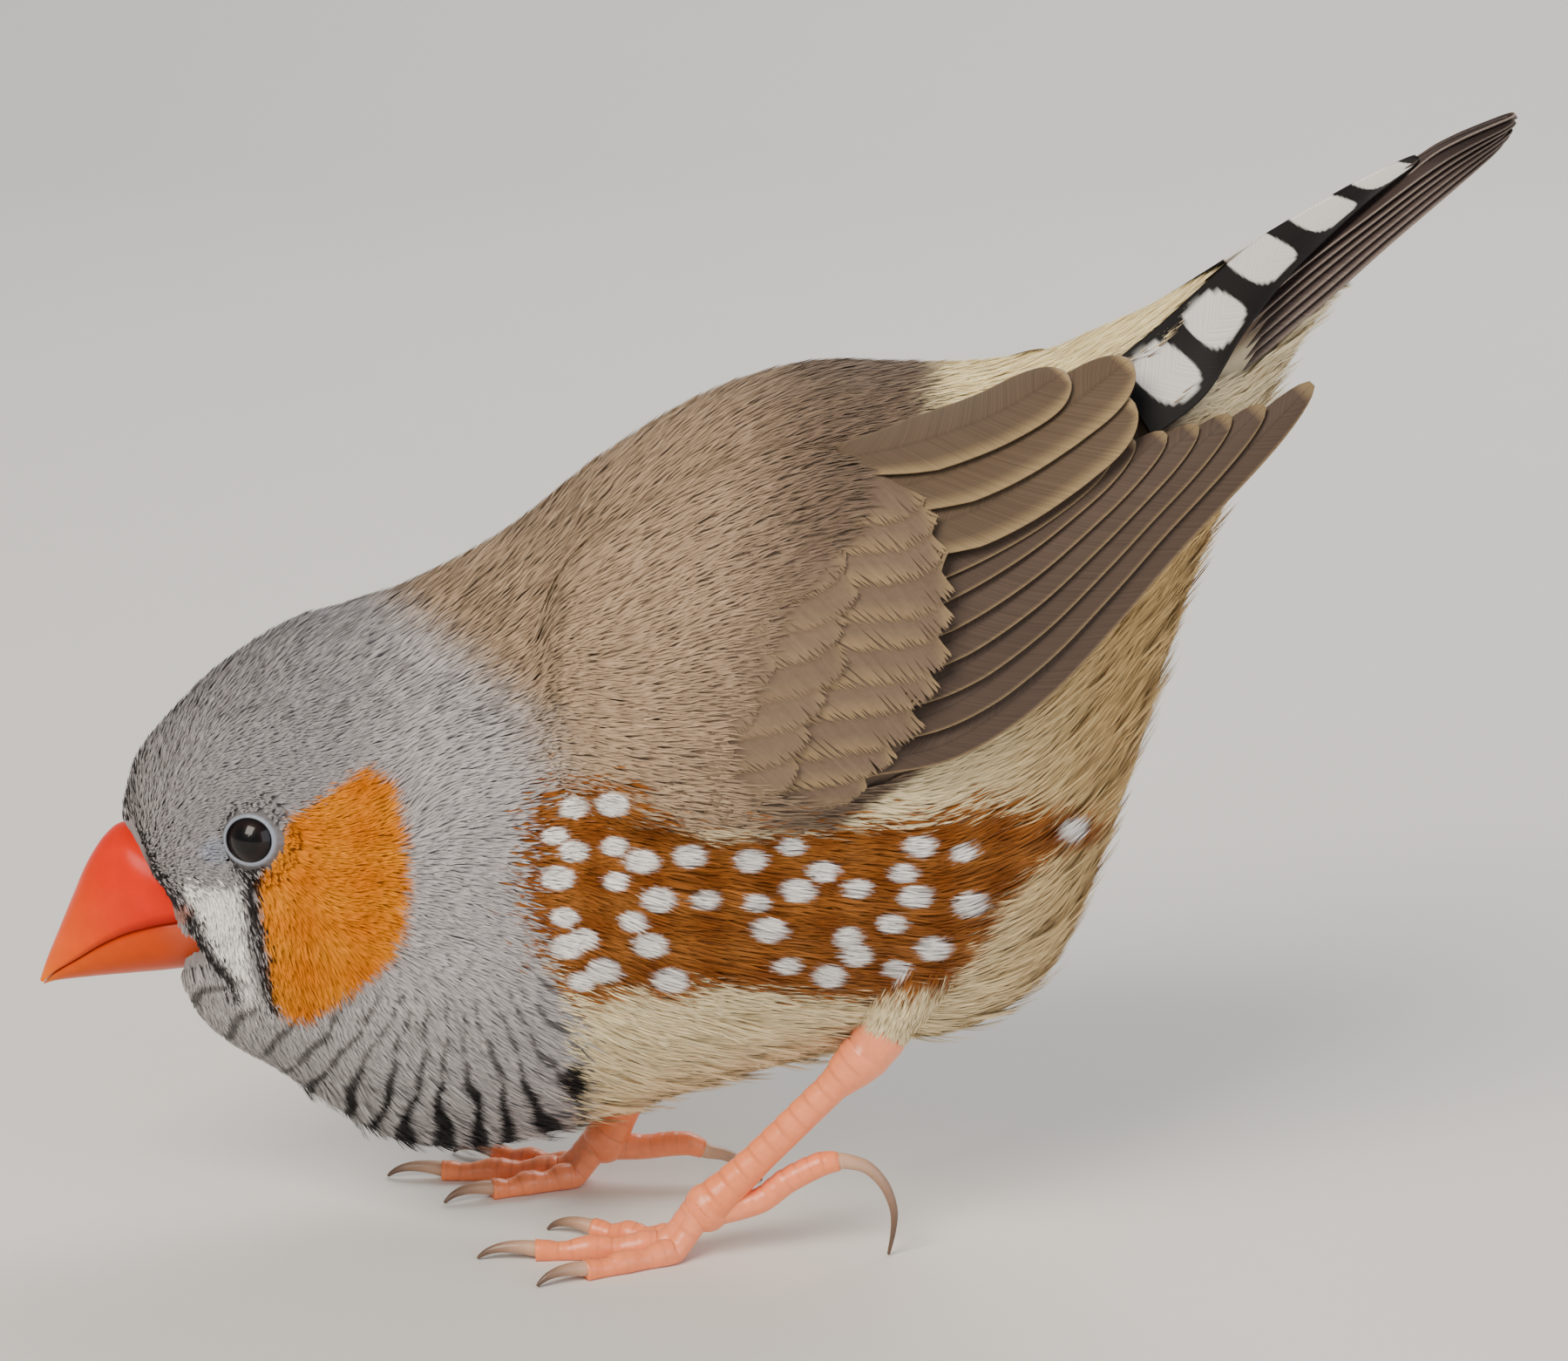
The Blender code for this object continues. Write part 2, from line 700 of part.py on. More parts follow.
def make_tail(collection, finish):
    """Four pairs of tail feathers, each pair lower and further out than the one over it."""
    rings = []
    for start, half, low, high in TAIL_CORE:
        spots = on_tail(start, start + 1.0, (0.0, 0.0), (0.0, 0.0), 0.0, 0.0)
        rings.append([])
        for turn in (np.arange(TAIL_CORE_SIDES) + 0.5) * math.tau / TAIL_CORE_SIDES:
            height = (low + high) / 2 + (high - low) / 2 * math.sin(turn)
            lean = TAIL_CORE_LEAN * height if start == TAIL_CORE[0][0] else 0.0
            x, _, z = spots(lean, 0.0, height)
            rings[-1].append((x, half * math.cos(turn), z))
    core = lofted("tail core", rings, collection, finish)
    tail = joined("tail", core, tail_vanes(collection))
    shade(tail)
    return tail


def make_rump(collection, finish):
    """The rump with the long feathers over and under the tail."""
    rump = trunk_piece("rump", TORSO_END, RUMP_END, RUMP_RINGS, collection, finish)
    pieces = []
    for side in (-1, 1):
        for end, root_side, tip_side, root_up, tip_up, width, slope in OVER_TAIL + UNDER_TAIL:
            sides = (side * root_side, side * tip_side)
            spots = on_tail(COVERT_START, end, sides, (root_up, tip_up), width, side * slope)
            pieces.append(vane("tail covert", spots, collection))
    rump = joined("rump", rump, pieces)
    shade(rump)
    return rump


def bill_section(middle, edge, half, grow, gap):
    """Half an ellipse from one mouth edge over the middle line to the other."""
    rise = 1.0 if middle[1] > edge[1] else -1.0
    foot = Vector((edge[0], 0, edge[1] + rise * gap / 2))
    top = Vector((middle[0], 0, middle[1]))
    reach = (top - foot).length
    if grow:
        top = foot + (top - foot) * ((reach + grow) / reach)
    ring = []
    for turn in np.linspace(0.0, math.pi, BILL_SIDES + 1):
        spot = foot + (top - foot) * math.sin(turn)
        ring.append(Vector((spot.x, (half + grow) * math.cos(turn), spot.z)))
    return ring


def make_bill(head, collection, finish_upper, finish_lower):
    """The two halves of the bill with the mouth line between, let into a socket in the face."""
    upper = [
        bill_section(over, edge, half, 0.0, MOUTH_GAP)
        for over, edge, half in zip(CULMEN, MOUTH, BILL_HALF_WIDTHS)
    ]
    lower = [
        bill_section(under, edge, half * LOWER_BILL_SHARE, 0.0, MOUTH_GAP)
        for under, edge, half in zip(GONYS, MOUTH, BILL_HALF_WIDTHS)
    ]
    top = lofted("bill_upper", upper, collection, finish_upper)
    bottom = lofted("bill_lower", lower, collection, finish_lower)
    for side in (-1, 1):
        x, y, z = NOSTRIL
        cut(top, sphere("nostril", (x, side * y, z), NOSTRIL_RADIUS, collection, NOSTRIL_SIDES))
    socket = []
    for place in range(SOCKET_RINGS):
        edge, half = MOUTH[place], BILL_HALF_WIDTHS[place]
        over = bill_section(CULMEN[place], edge, half, GAP, 0.0)
        under = bill_section(GONYS[place], edge, half, GAP, 0.0)
        socket.append(over + under[-2:0:-1])
    inward = (socket[0][0] - socket[1][0]).normalized() * SOCKET_ROOM
    socket[0] = [point + Vector((inward.x, 0, inward.z)) for point in socket[0]]
    cut(head, lofted("socket", socket, collection))
    for piece in (top, bottom, head):
        shade(piece)


def eye_place():
    """The left eye's centre and the way it looks."""
    surface = body_point(EYE_STATION, EYE_ANGLE)
    along, around = directions(BODY_STATIONS, EYE_STATION, EYE_ANGLE)
    out = np.cross(around, along)
    out /= np.linalg.norm(out)
    return Vector(surface - out * EYE_SUNK), Vector(out)


def make_head(collection, finish, eye_finish):
    head = trunk_piece("head", 0.0, HEAD_END, HEAD_RINGS, collection, finish)
    centre, out = eye_place()
    lids = []
    eyes = {}
    for side, name in ((1, "left"), (-1, "right")):
        middle = Vector((centre.x, centre.y * side, centre.z))
        way = Vector((out.x, out.y * side, out.z))
        rim = middle + way * (EYE_SUNK + LID_RISE)
        lids.append(lid_ring(rim, way, collection))
        eyes[name] = middle
    joined("head", head, lids)
    for name, middle in eyes.items():
        cut(head, sphere("eye socket", middle, EYE_RADIUS + SOCKET_GAP, collection, EYE_SIDES))
        shade(sphere("eye_" + name, middle, EYE_RADIUS, collection, EYE_SIDES, eye_finish))
    return head


def room_round(points, radii, sides, collection):
    """The space a limb needs in the torso, wider than it by the touching gap on every side."""
    points = [Vector(point) for point in points]
    points[0] -= (points[1] - points[0]).normalized() * GAP
    points[-1] += (points[-1] - points[-2]).normalized() * GAP
    return tube("room", points, [radius + GAP for radius in radii], sides, collection)


def make_leg(leg, torso, collection, skin, feather, horn):
    side = leg["side"]
    hip, ankle, knuckle = (Vector(leg[place]) for place in ("hip", "ankle", "knuckle"))
    thigh = [hip.lerp(ankle, share) for share in THIGH_SHARES]
    start = ankle + (ankle - hip).normalized() * ANKLE_ROOM
    way = (knuckle - start).normalized()
    shank = [start.lerp(knuckle, share) for share in SHANK_SHARES]
    shank.append(knuckle - way * (KNUCKLE_NECK + GAP))
    cut(torso, room_round(thigh, THIGH_RADII, THIGH_SIDES, collection))
    cut(torso, room_round(shank, SHANK_RADII, TUBE_SIDES, collection))
    shade(tube("thigh_" + side, thigh, THIGH_RADII, THIGH_SIDES, collection, feather))
    shade(tube("shank_" + side, shank, SHANK_RADII, TUBE_SIDES, collection, skin))
    make_foot(leg, knuckle, way, collection, skin, horn)


def make_foot(leg, knuckle, way, collection, skin, horn):
    side = leg["side"]
    neck = [knuckle - way * KNUCKLE_NECK, knuckle - way, knuckle]
    foot = tube("foot_" + side, neck, FOOT_NECK_RADII, TUBE_SIDES, collection, skin)
    pieces = [sphere("knuckle", knuckle, KNUCKLE_RADIUS, collection, KNUCKLE_SIDES)]
    outward = -1.0 if side == "left" else 1.0
    for name, heading, length, root_radius, end_radius in TOES:
        turn = math.radians(heading)
        ahead = Vector((-math.cos(turn), outward * math.sin(turn), 0.0))
        points, radii = [], []
        for step in range(TOE_STEPS):
            share = step / (TOE_STEPS - 1)
            swell = 1.0 + PAD_SWELL * math.cos(share * TOE_PADS * math.tau)
            radius = (root_radius + (end_radius - root_radius) * share) * swell
            rest = radius * math.cos(math.pi / TOE_SIDES) - TOE_FLAT
            drop = max(1 - share / TOE_DROP, 0.0)
            height = rest + (knuckle.z - rest) * drop**TOE_DROP_POWER
            root = Vector((knuckle.x, knuckle.y, height))
            points.append(root + ahead * (TOE_START + length * share))
            radii.append(radius)
        pieces.append(tube("toe", points, radii, TOE_SIDES, collection, floor=True))
        front_claw(name, side, points[-1], ahead, collection, horn)
    toe = [Vector((knuckle.x + back, knuckle.y, height)) for back, height in leg["hind_toe"]]
    pieces.append(tube("hind toe", toe, HIND_TOE_RADII, TOE_SIDES, collection))
    claw = [Vector((knuckle.x + back, knuckle.y, height)) for back, height in leg["hind_claw"]]
    claw_tube(f"claw_{side}_hind", claw, collection, horn)
    foot = joined("foot_" + side, foot, pieces)
    shade(foot)


def front_claw(name, side, toe_end, ahead, collection, horn):
    """A claw that curves down to the floor from a toe's end, past the touching gap."""
    start = toe_end + ahead * CLAW_GAP
    points = []
    for share in np.linspace(0.0, 1.0, CLAW_STEPS):
        out = CLAW_LENGTHS[name] * math.sin(share * CLAW_BEND) / math.sin(CLAW_BEND)
        place = start + ahead * out
        fall = (toe_end.z - CLAW_TIP_RADIUS) * share**CLAW_FALL
        place.z = toe_end.z - fall + CLAW_ARCH * math.sin(math.pi * share)
        points.append(place)
    claw_tube(f"claw_{side}_{name}", points, collection, horn)


def claw_tube(name, points, collection, horn):
    shares = [step / (len(points) - 1) for step in range(len(points))]
    thinner = CLAW_TIP_RADIUS - CLAW_ROOT_RADIUS
    radii = [CLAW_ROOT_RADIUS + thinner * share**CLAW_TAPER for share in shares]
    shade(tube(name, points, radii, CLAW_SIDES, collection, horn, floor=True))


def centre_on_floor(collection):
    """Moves the whole bird so that the origin is the middle of its box, on the floor."""
    bpy.context.view_layer.update()
    corners = [Vector(corner) for item in collection.objects for corner in item.bound_box]
    low_x, high_x = min(c.x for c in corners), max(c.x for c in corners)
    low_y, high_y = min(c.y for c in corners), max(c.y for c in corners)
    anchor = bpy.data.objects.new("zebra finch", None)
    bpy.context.scene.collection.objects.link(anchor)
    for item in collection.objects:
        item.parent = anchor
    anchor.location = (-(low_x + high_x) / 2, -(low_y + high_y) / 2, 0.0)


def main():
    clear_scene()
    bird = new_collection("zebra_finch")
    grey = material("grey head feathers", (0.27, 0.25, 0.25), 0.8)
    brown = material("brown back feathers", (0.20, 0.15, 0.11), 0.8)
    cream = material("cream belly feathers", (0.62, 0.50, 0.34), 0.8)
    dark = material("dark tail feathers", (0.04, 0.03, 0.025), 0.6)
    red = material("red bill", (0.72, 0.08, 0.02), 0.3)
    orange = material("orange lower bill", (0.75, 0.15, 0.02), 0.3)
    leg_skin = material("orange leg skin", (0.68, 0.26, 0.16), 0.45)
    horn = material("pale claw horn", (0.55, 0.36, 0.28), 0.35)
    eye_finish = material("dark wet eye", (0.01, 0.005, 0.004), 0.05)
    head = make_head(bird, grey, eye_finish)
    make_bill(head, bird, red, orange)
    trunk_piece("neck", HEAD_END, NECK_END, NECK_RINGS, bird, grey)
    torso = trunk_piece("torso", NECK_END, TORSO_END, TORSO_RINGS, bird, brown)
    make_rump(bird, cream)
    make_tail(bird, dark)
    wing = make_wing(bird, brown)
    mirrored("wing_right", wing, bird, brown)
    for leg in (LEFT_LEG, RIGHT_LEG):
        make_leg(leg, torso, bird, leg_skin, cream, horn)
    shade(torso)
    centre_on_floor(bird)


main()
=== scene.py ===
"""The looks of a male zebra finch: skin, coat, wing and tail feathers, bill, eyes, legs and stage.

Sizes are in millimetres and degrees until a mesh is made. The bird faces -X, its left side faces
-Y and the floor is Z = 0. Markings are stated in the side view: how far a point lies across and
up from the middle of the picture, in millimetres.
"""

import math

import bpy
import numpy as np
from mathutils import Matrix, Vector


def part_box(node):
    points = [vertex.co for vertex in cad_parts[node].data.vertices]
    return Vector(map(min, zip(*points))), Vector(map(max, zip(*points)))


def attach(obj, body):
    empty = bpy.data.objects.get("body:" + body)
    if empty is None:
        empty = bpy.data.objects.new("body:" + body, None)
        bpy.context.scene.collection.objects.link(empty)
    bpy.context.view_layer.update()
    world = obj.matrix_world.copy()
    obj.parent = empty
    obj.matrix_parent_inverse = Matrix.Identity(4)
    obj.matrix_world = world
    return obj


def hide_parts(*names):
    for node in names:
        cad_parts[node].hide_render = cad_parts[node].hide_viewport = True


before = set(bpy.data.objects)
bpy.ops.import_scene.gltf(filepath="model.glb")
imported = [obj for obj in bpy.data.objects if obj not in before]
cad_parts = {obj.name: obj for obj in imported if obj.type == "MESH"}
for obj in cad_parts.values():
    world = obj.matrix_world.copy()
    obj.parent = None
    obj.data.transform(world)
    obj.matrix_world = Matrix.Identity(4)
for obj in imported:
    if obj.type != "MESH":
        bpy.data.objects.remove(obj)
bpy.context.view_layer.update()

bl_info = {
    "name": "Zebra finch",
    "version": (1, 0, 0),
    "blender": (4, 5, 0),
    "location": "3D View > Sidebar > Finch",
    "description": "Builds the looks of a male zebra finch round its solids",
    "category": "Object",
}

MM = 0.001
BODY_NAME = "root"

# The camera: its target, its distance and how high it stands over the target
TARGET_HEIGHT = 36.1
VIEW_DISTANCE = 260.0
VIEW_RISE = math.radians(14.0)
SENSOR_WIDTH = 36.0
LENS = 93.65

# The outline of the body from the bill's base to the tail's root, in the bird's middle plane:
# the back's x and z, the underside's x and z, half the width, and how far down the widest level
# lies, as a share of the height.
BODY = (
    (-42.6, 27.1, -37.2, 17.4, 3.2, 0.56),
    (-41.5, 31.1, -37.9, 14.6, 4.8, 0.60),
    (-39.2, 34.0, -36.0, 12.3, 6.5, 0.59),
    (-35.9, 37.2, -32.6, 10.2, 7.6, 0.58),
    (-31.5, 40.0, -28.7, 7.5, 8.8, 0.56),
    (-27.6, 41.2, -24.6, 5.4, 10.0, 0.55),
    (-23.2, 42.8, -19.4, 5.2, 11.6, 0.54),
    (-17.6, 45.9, -14.2, 6.5, 13.2, 0.52),
    (-10.9, 51.1, -8.0, 8.4, 14.4, 0.50),
    (-4.3, 54.9, -1.1, 10.6, 15.1, 0.50),
    (1.7, 56.6, 6.3, 12.3, 15.0, 0.50),
    (7.4, 56.6, 12.5, 13.6, 13.8, 0.50),
    (12.4, 56.7, 17.4, 17.6, 12.0, 0.48),
    (16.4, 57.3, 21.0, 26.5, 9.9, 0.46),
    (19.6, 58.7, 23.7, 35.6, 8.0, 0.42),
    (22.8, 60.1, 26.1, 43.5, 6.3, 0.36),
    (26.1, 62.0, 28.6, 49.7, 4.7, 0.30),
    (29.3, 63.7, 30.5, 54.6, 3.6, 0.35),
    (32.9, 65.8, 32.2, 57.7, 2.7, 0.35),
    (36.7, 67.9, 34.2, 60.9, 1.7, 0.35),
)
BODY_END = len(BODY) - 1.0

# The shell that the wing feathers lie on. Its first row is level with body row 7.
SHELL_FIRST = 7
SHELL = (
    (-17.6, 46.4, -14.2, 6.5, 13.7, 0.52),
    (-10.9, 51.7, -8.0, 8.4, 15.0, 0.50),
    (-4.3, 55.5, -1.1, 10.6, 15.9, 0.50),
    (1.7, 57.2, 6.3, 12.3, 16.0, 0.50),
    (7.4, 57.3, 12.5, 13.6, 15.4, 0.50),
    (12.4, 57.5, 17.6, 17.0, 13.8, 0.48),
    (16.4, 58.3, 22.0, 24.0, 12.1, 0.48),
    (19.8, 59.4, 26.0, 31.0, 10.6, 0.48),
    (23.2, 60.8, 29.6, 37.0, 9.4, 0.48),
    (26.8, 62.6, 33.0, 42.5, 8.5, 0.48),
    (30.6, 64.8, 36.4, 48.0, 7.8, 0.48),
    (34.6, 67.0, 40.0, 53.0, 7.3, 0.48),
    (38.8, 69.0, 43.8, 57.8, 7.0, 0.48),
)

# The folded arm: stations with the degrees of its upper and its lower edge
ARM_EDGES = (
    (7.2, 46.0, 60.0),
    (7.5, 38.0, 76.0),
    (8.0, 34.0, 87.0),
    (8.8, 33.0, 96.0),
    (9.6, 34.0, 96.0),
    (10.3, 38.0, 93.0),
    (10.9, 43.0, 89.0),
)
# How far it clears the body, how high its edge stands and how much thicker its middle is
ARM_CLEAR, ARM_EDGE, ARM_THICKNESS = 0.4, 0.5, 2.5

# The left eye: its station and degrees on the body, its radius, how deep its centre lies and how
# far from its rim the first tufts stand
EYE_STATION, EYE_ANGLE = 3.32, 68.6
EYE_RADIUS, EYE_SUNK, EYE_BARE = 2.0, 1.35, 1.78

# Which way the feathers lie, by place in the side view: across, up, then the direction
LIE = (
    (-42.0, -7.0, 0.35, 0.94),
    (-40.0, -2.0, 0.55, 0.83),
    (-34.0, 3.0, 0.8, 0.6),
    (-28.0, 6.0, 0.93, 0.37),
    (-20.0, 9.0, 0.9, 0.43),
    (-10.0, 15.0, 0.85, 0.52),
    (0.0, 19.5, 0.93, 0.37),
    (8.0, 20.5, 1.0, 0.05),
    (16.0, 20.5, 0.97, 0.2),
    (24.0, 24.0, 0.87, 0.5),
    (-38.0, -9.0, 0.95, 0.3),
    (-34.0, -6.5, 1.0, 0.12),
    (-31.0, -6.0, 0.98, 0.2),
    (-28.0, -3.0, 0.97, 0.2),
    (-25.5, -8.0, 0.86, 0.5),
    (-28.0, -13.0, 0.99, 0.05),
    (-25.5, -15.0, 0.97, -0.2),
    (-29.5, -19.5, 0.55, -0.83),
    (-32.5, -17.0, 0.45, -0.89),
    (-35.5, -15.5, 0.4, -0.92),
    (-34.5, -20.0, 0.5, -0.87),
    (-31.0, -25.0, 0.72, -0.69),
    (-24.0, -28.0, 0.92, -0.38),
    (-25.0, -22.0, 0.75, -0.66),
    (-20.0, -16.0, 0.98, -0.2),
    (-19.0, -23.0, 0.8, -0.6),
    (-14.0, -28.0, 0.95, -0.3),
    (-15.0, -18.0, 0.98, -0.17),
    (-20.0, -5.0, 0.99, 0.1),
    (-14.0, -2.0, 1.0, 0.05),
    (-10.0, 5.0, 0.9, 0.42),
    (-8.0, -12.0, 1.0, 0.05),
    (4.0, -14.0, 1.0, 0.0),
    (4.0, -22.0, 1.0, 0.03),
    (14.0, -12.0, 0.98, 0.18),
    (18.0, -17.0, 0.93, 0.36),
    (20.0, -5.0, 0.8, 0.6),
    (27.0, 6.0, 0.72, 0.69),
    (33.0, 15.0, 0.74, 0.67),
)
# How fast a place's say in the lie falls off with distance
LIE_REACH = 3.0

# Outlines of the markings in the side view
CHEEK = (
    (-26.4, -5.4), (-24.7, -6.6), (-24.1, -9.4), (-23.8, -12.2), (-23.9, -15.5), (-24.7, -17.8),
    (-26.6, -19.4), (-28.0, -20.5), (-30.2, -21.9), (-31.6, -21.8), (-32.8, -20.5),
    (-33.1, -17.8), (-33.5, -15.0), (-33.7, -12.8), (-32.8, -11.6), (-32.2, -10.2),
    (-31.4, -8.6), (-30.0, -7.8), (-28.3, -6.6), (-27.2, -5.8),
)
FLANK = (
    (-16.4, -8.3), (-14.4, -6.6), (-11.1, -7.2), (-7.8, -8.9), (-4.4, -10.2), (3.4, -9.4),
    (8.4, -9.1), (12.8, -7.8), (16.7, -8.0), (19.5, -9.4), (19.2, -10.2), (16.7, -11.6),
    (13.9, -14.4), (12.2, -17.8), (10.0, -20.0), (5.6, -20.5), (1.1, -20.2), (-2.8, -19.7),
    (-7.8, -19.4), (-11.6, -20.5), (-14.4, -18.9), (-16.6, -14.4),
)
FLANK_SPOTS = (
    (-13.4, -8.1), (-10.9, -7.9), (-14.6, -9.9), (-14.4, -12.6), (-13.4, -10.9),
    (-10.8, -10.6), (-9.1, -11.5), (-10.7, -12.8), (-6.0, -11.2), (-2.1, -11.5), (0.5, -10.6),
    (-8.0, -14.0), (-5.0, -14.0), (-9.6, -15.4), (-8.5, -16.9), (-1.7, -14.2), (0.9, -13.4),
    (2.5, -12.2), (4.7, -13.3), (-0.9, -15.9), (7.6, -12.3), (8.7, -10.6), (8.4, -13.8),
    (11.5, -11.0), (11.9, -14.3), (4.1, -16.4), (6.9, -15.5), (9.5, -17.1), (0.2, -18.2),
    (2.9, -18.9), (4.6, -17.5), (7.2, -18.4), (-7.2, -19.1), (-14.0, -15.1), (-12.8, -16.5),
    (-13.8, -17.0), (-12.9, -19.2), (-11.5, -18.5), (18.5, -9.5),
)
# Half a spot's length and half its height
SPOT_LONG, SPOT_HIGH = 1.0, 0.74
STRIPE = (
    (-38.6, -13.0), (-36.4, -13.0), (-34.1, -13.0), (-33.9, -16.6), (-33.3, -21.1),
    (-34.4, -21.1), (-35.4, -19.4), (-36.6, -17.6), (-37.6, -16.1),
)
# Black lines under the eye, down the bill's base and behind the mouth
TEAR_LINE = ((-33.9, -12.3), (-34.0, -14.0), (-33.6, -16.0), (-33.1, -18.6), (-32.7, -21.0))
BILL_LINE = ((-41.7, -9.3), (-41.0, -10.4), (-40.2, -12.2), (-39.3, -13.2), (-38.7, -14.2))
GAPE_LINE = ((-37.8, -15.3), (-37.2, -16.6), (-36.5, -17.9), (-35.2, -19.4), (-35.0, -20.6))
BILL_SIDE = (
    (-52.0, -7.0), (-43.6, -8.4), (-41.97, -9.1), (-41.2, -10.6), (-40.6, -12.2), (-39.5, -13.5),
    (-39.0, -14.4), (-38.9, -15.3), (-38.1, -15.6), (-37.4, -16.8), (-36.9, -17.8), (-37.6, -18.1),
    (-39.5, -18.4), (-52.0, -20.0),
)
# Half the width of such a line
LINE_WIDTH = 0.36
# Borders: the top of the barred throat, the back of the barred breast, the back of the grey and
# the top of the pale underparts
THROAT_TOP = ((-40.0, -18.4), (-34.0, -19.5), (-30.0, -21.5), (-26.0, -20.0), (-20.0, -19.0),
              (-13.0, -18.5))
BREAST_END = ((-30.0, -12.5), (-19.0, -13.8), (-8.0, -15.5))
GREY_END = ((-8.0, -14.5), (-2.0, -16.5), (2.0, -21.0), (6.0, -26.0))
UNDER_TOP = ((-16.0, -8.5), (-8.0, -9.2), (3.0, -9.2), (8.0, -6.0), (16.7, 1.0), (22.0, 8.0),
             (26.5, 17.5), (34.0, 23.5), (40.0, 28.0))
# Where the throat's bars spread from, and the degrees from one to the next
BAR_PIVOT, BAR_STEP = (-21.4, -13.9), 8.3


def linear(code):
    """A linear colour from an sRGB code such as #c04010."""
    shares = [int(code[place : place + 2], 16) / 255 for place in (1, 3, 5)]
    return np.array([s / 12.92 if s <= 0.04045 else ((s + 0.055) / 1.055) ** 2.4 for s in shares])


def hue_choice(name, description, code):
    """A colour that a user may change, from its sRGB code."""
    return bpy.props.FloatVectorProperty(
        name=name, description=description, default=tuple(linear(code)), subtype="COLOR",
        size=3, min=0.0, max=1.0,
    )


def size_choice(name, description, size):
    """A length that a user may change, from its size in mm."""
    return bpy.props.FloatProperty(
        name=name, description=description, default=size * MM, min=0.0, precision=5,
        subtype="DISTANCE", unit="LENGTH",
    )


def share_choice(name, description, share):
    """A share from 0 to 1 that a user may change."""
    return bpy.props.FloatProperty(
        name=name, description=description, default=share, min=0.0, max=1.0, subtype="FACTOR"
    )


def power_choice(name, description, watts):
    """The power of a lamp, in watts, that a user may change."""
    return bpy.props.FloatProperty(
        name=name, description=description, default=watts, min=0.0, unit="POWER"
    )


class FinchPlumage(bpy.types.PropertyGroup):
    """Colours of skin, coat and feathers."""

    grey: hue_choice("Grey", "Crown, nape and face", "#949090")
    grey_pale: hue_choice("Pale grey", "Side of the neck and upper breast", "#b6b1b0")
    mantle: hue_choice("Mantle", "Back and shoulders", "#ab9276")
    wing_brown: hue_choice("Wing brown", "Small feathers of the wing", "#746150")
    flight_brown: hue_choice("Flight brown", "Long feathers of the wing", "#4b3c31")
    feather_edge: hue_choice("Feather edge", "Pale edges of wing feathers", "#a18860")
    cheek_orange: hue_choice("Cheek", "Cheek patch", "#cd7000")
    cheek_pale: hue_choice("Cheek, pale", "Paler flecks in the cheek patch", "#e29018")
    chestnut: hue_choice("Flank", "Chestnut flank", "#7b4111")
    chestnut_pale: hue_choice("Flank, pale", "Paler flecks in the flank", "#ab6e34")
    white: hue_choice("White", "Spots, bars and the stripe before the cheek", "#f2eee8")
    black: hue_choice("Black", "Bars and lines", "#120e0d")
    belly: hue_choice("Belly", "Belly next to the breast", "#efddb0")
    vent: hue_choice("Vent", "Underparts towards the tail", "#c9a76e")
    throat: hue_choice("Throat", "Ground colour of the barred throat", "#aeaaa9")
    lore: hue_choice("Lore", "Between bill and eye", "#948f92")
    rump_cream: hue_choice("Rump", "Rump before the barred feathers", "#ffebb4")
    tail_dark: hue_choice("Tail", "Tail feathers", "#3b2e2a")
    tail_edge: hue_choice("Tail edge", "Edges of tail feathers", "#94857a")
    under_tail: hue_choice("Under the tail", "Feathers under the tail", "#ecdcb4")
    gape_flesh: hue_choice("Gape", "Bare corner of the mouth", "#9c6a5c")
    eye_skin: hue_choice("Eye skin", "Bare skin round the eye", "#97a0ae")


class FinchCoat(bpy.types.PropertyGroup):
    """Sizes of the coat's tufts."""

    barb_width: size_choice("Barb width", "Width of a barb at its root", 0.17)
    loose: share_choice("Loose tufts", "Share of tufts under the body that stand off", 0.12)
    specks: share_choice("Specks", "Share of darker tufts on the crown", 0.28)
    # root_shade is painted shade: how dark a barb is drawn at its root, where the tufts over it
    # shade it
    root_shade: share_choice("Root shade", "Brightness of a barb at its root", 0.85)


class FinchWings(bpy.types.PropertyGroup):
    """Sizes of the wing feathers."""

    flight_width: size_choice("Flight width", "Width of a long feather", 2.4)
    flight_slope: share_choice("Flight slope", "How steeply a long feather lies on the next", 0.36)
    tertial_slope: share_choice("Tertial slope", "How steeply an inner feather lies", 0.22)


class FinchTail(bpy.types.PropertyGroup):
    """Sizes of the tail feathers and their bars."""

    pairs: bpy.props.IntProperty(
        name="Pairs", description="Tail feathers on each side", default=6, min=2, max=8
    )
    bar: size_choice("White bar", "Half the length of a white bar", 1.6)


class FinchBill(bpy.types.PropertyGroup):
    """Colours of the bill."""

    root: hue_choice("Root", "Bill at the face", "#dc2400")
    middle: hue_choice("Middle", "Bill halfway along", "#e65c00")
    flesh: hue_choice("Flesh", "Lower bill at the face", "#c8705c")
    tip: hue_choice("Tip", "Bill's tip", "#e07c10")


class FinchEyes(bpy.types.PropertyGroup):
    """Colours of the eyes."""

    pupil: hue_choice("Pupil", "Middle of the eye", "#040202")
    iris: hue_choice("Iris", "Ring round the pupil", "#160805")
    rim: hue_choice("Rim", "Outer edge of the iris", "#060303")
    lid_edge: hue_choice("Lid edge", "Lid against the eye", "#17100f")


class FinchLegs(bpy.types.PropertyGroup):
    """Colours and sizes of legs and claws."""

    pink: hue_choice("Pink", "Top of the leg", "#fb9568")
    orange: hue_choice("Orange", "Foot of the leg and the toes", "#f47a34")
    horn: hue_choice("Claw", "Claw at the toe", "#cba386")
    horn_tip: hue_choice("Claw tip", "Claw's tip", "#5f4a3c")
    scutes: size_choice("Leg scales", "How far apart the scales on the leg stand", 1.25)
    toe_scutes: size_choice("Toe scales", "How far apart the scales on a toe stand", 0.85)


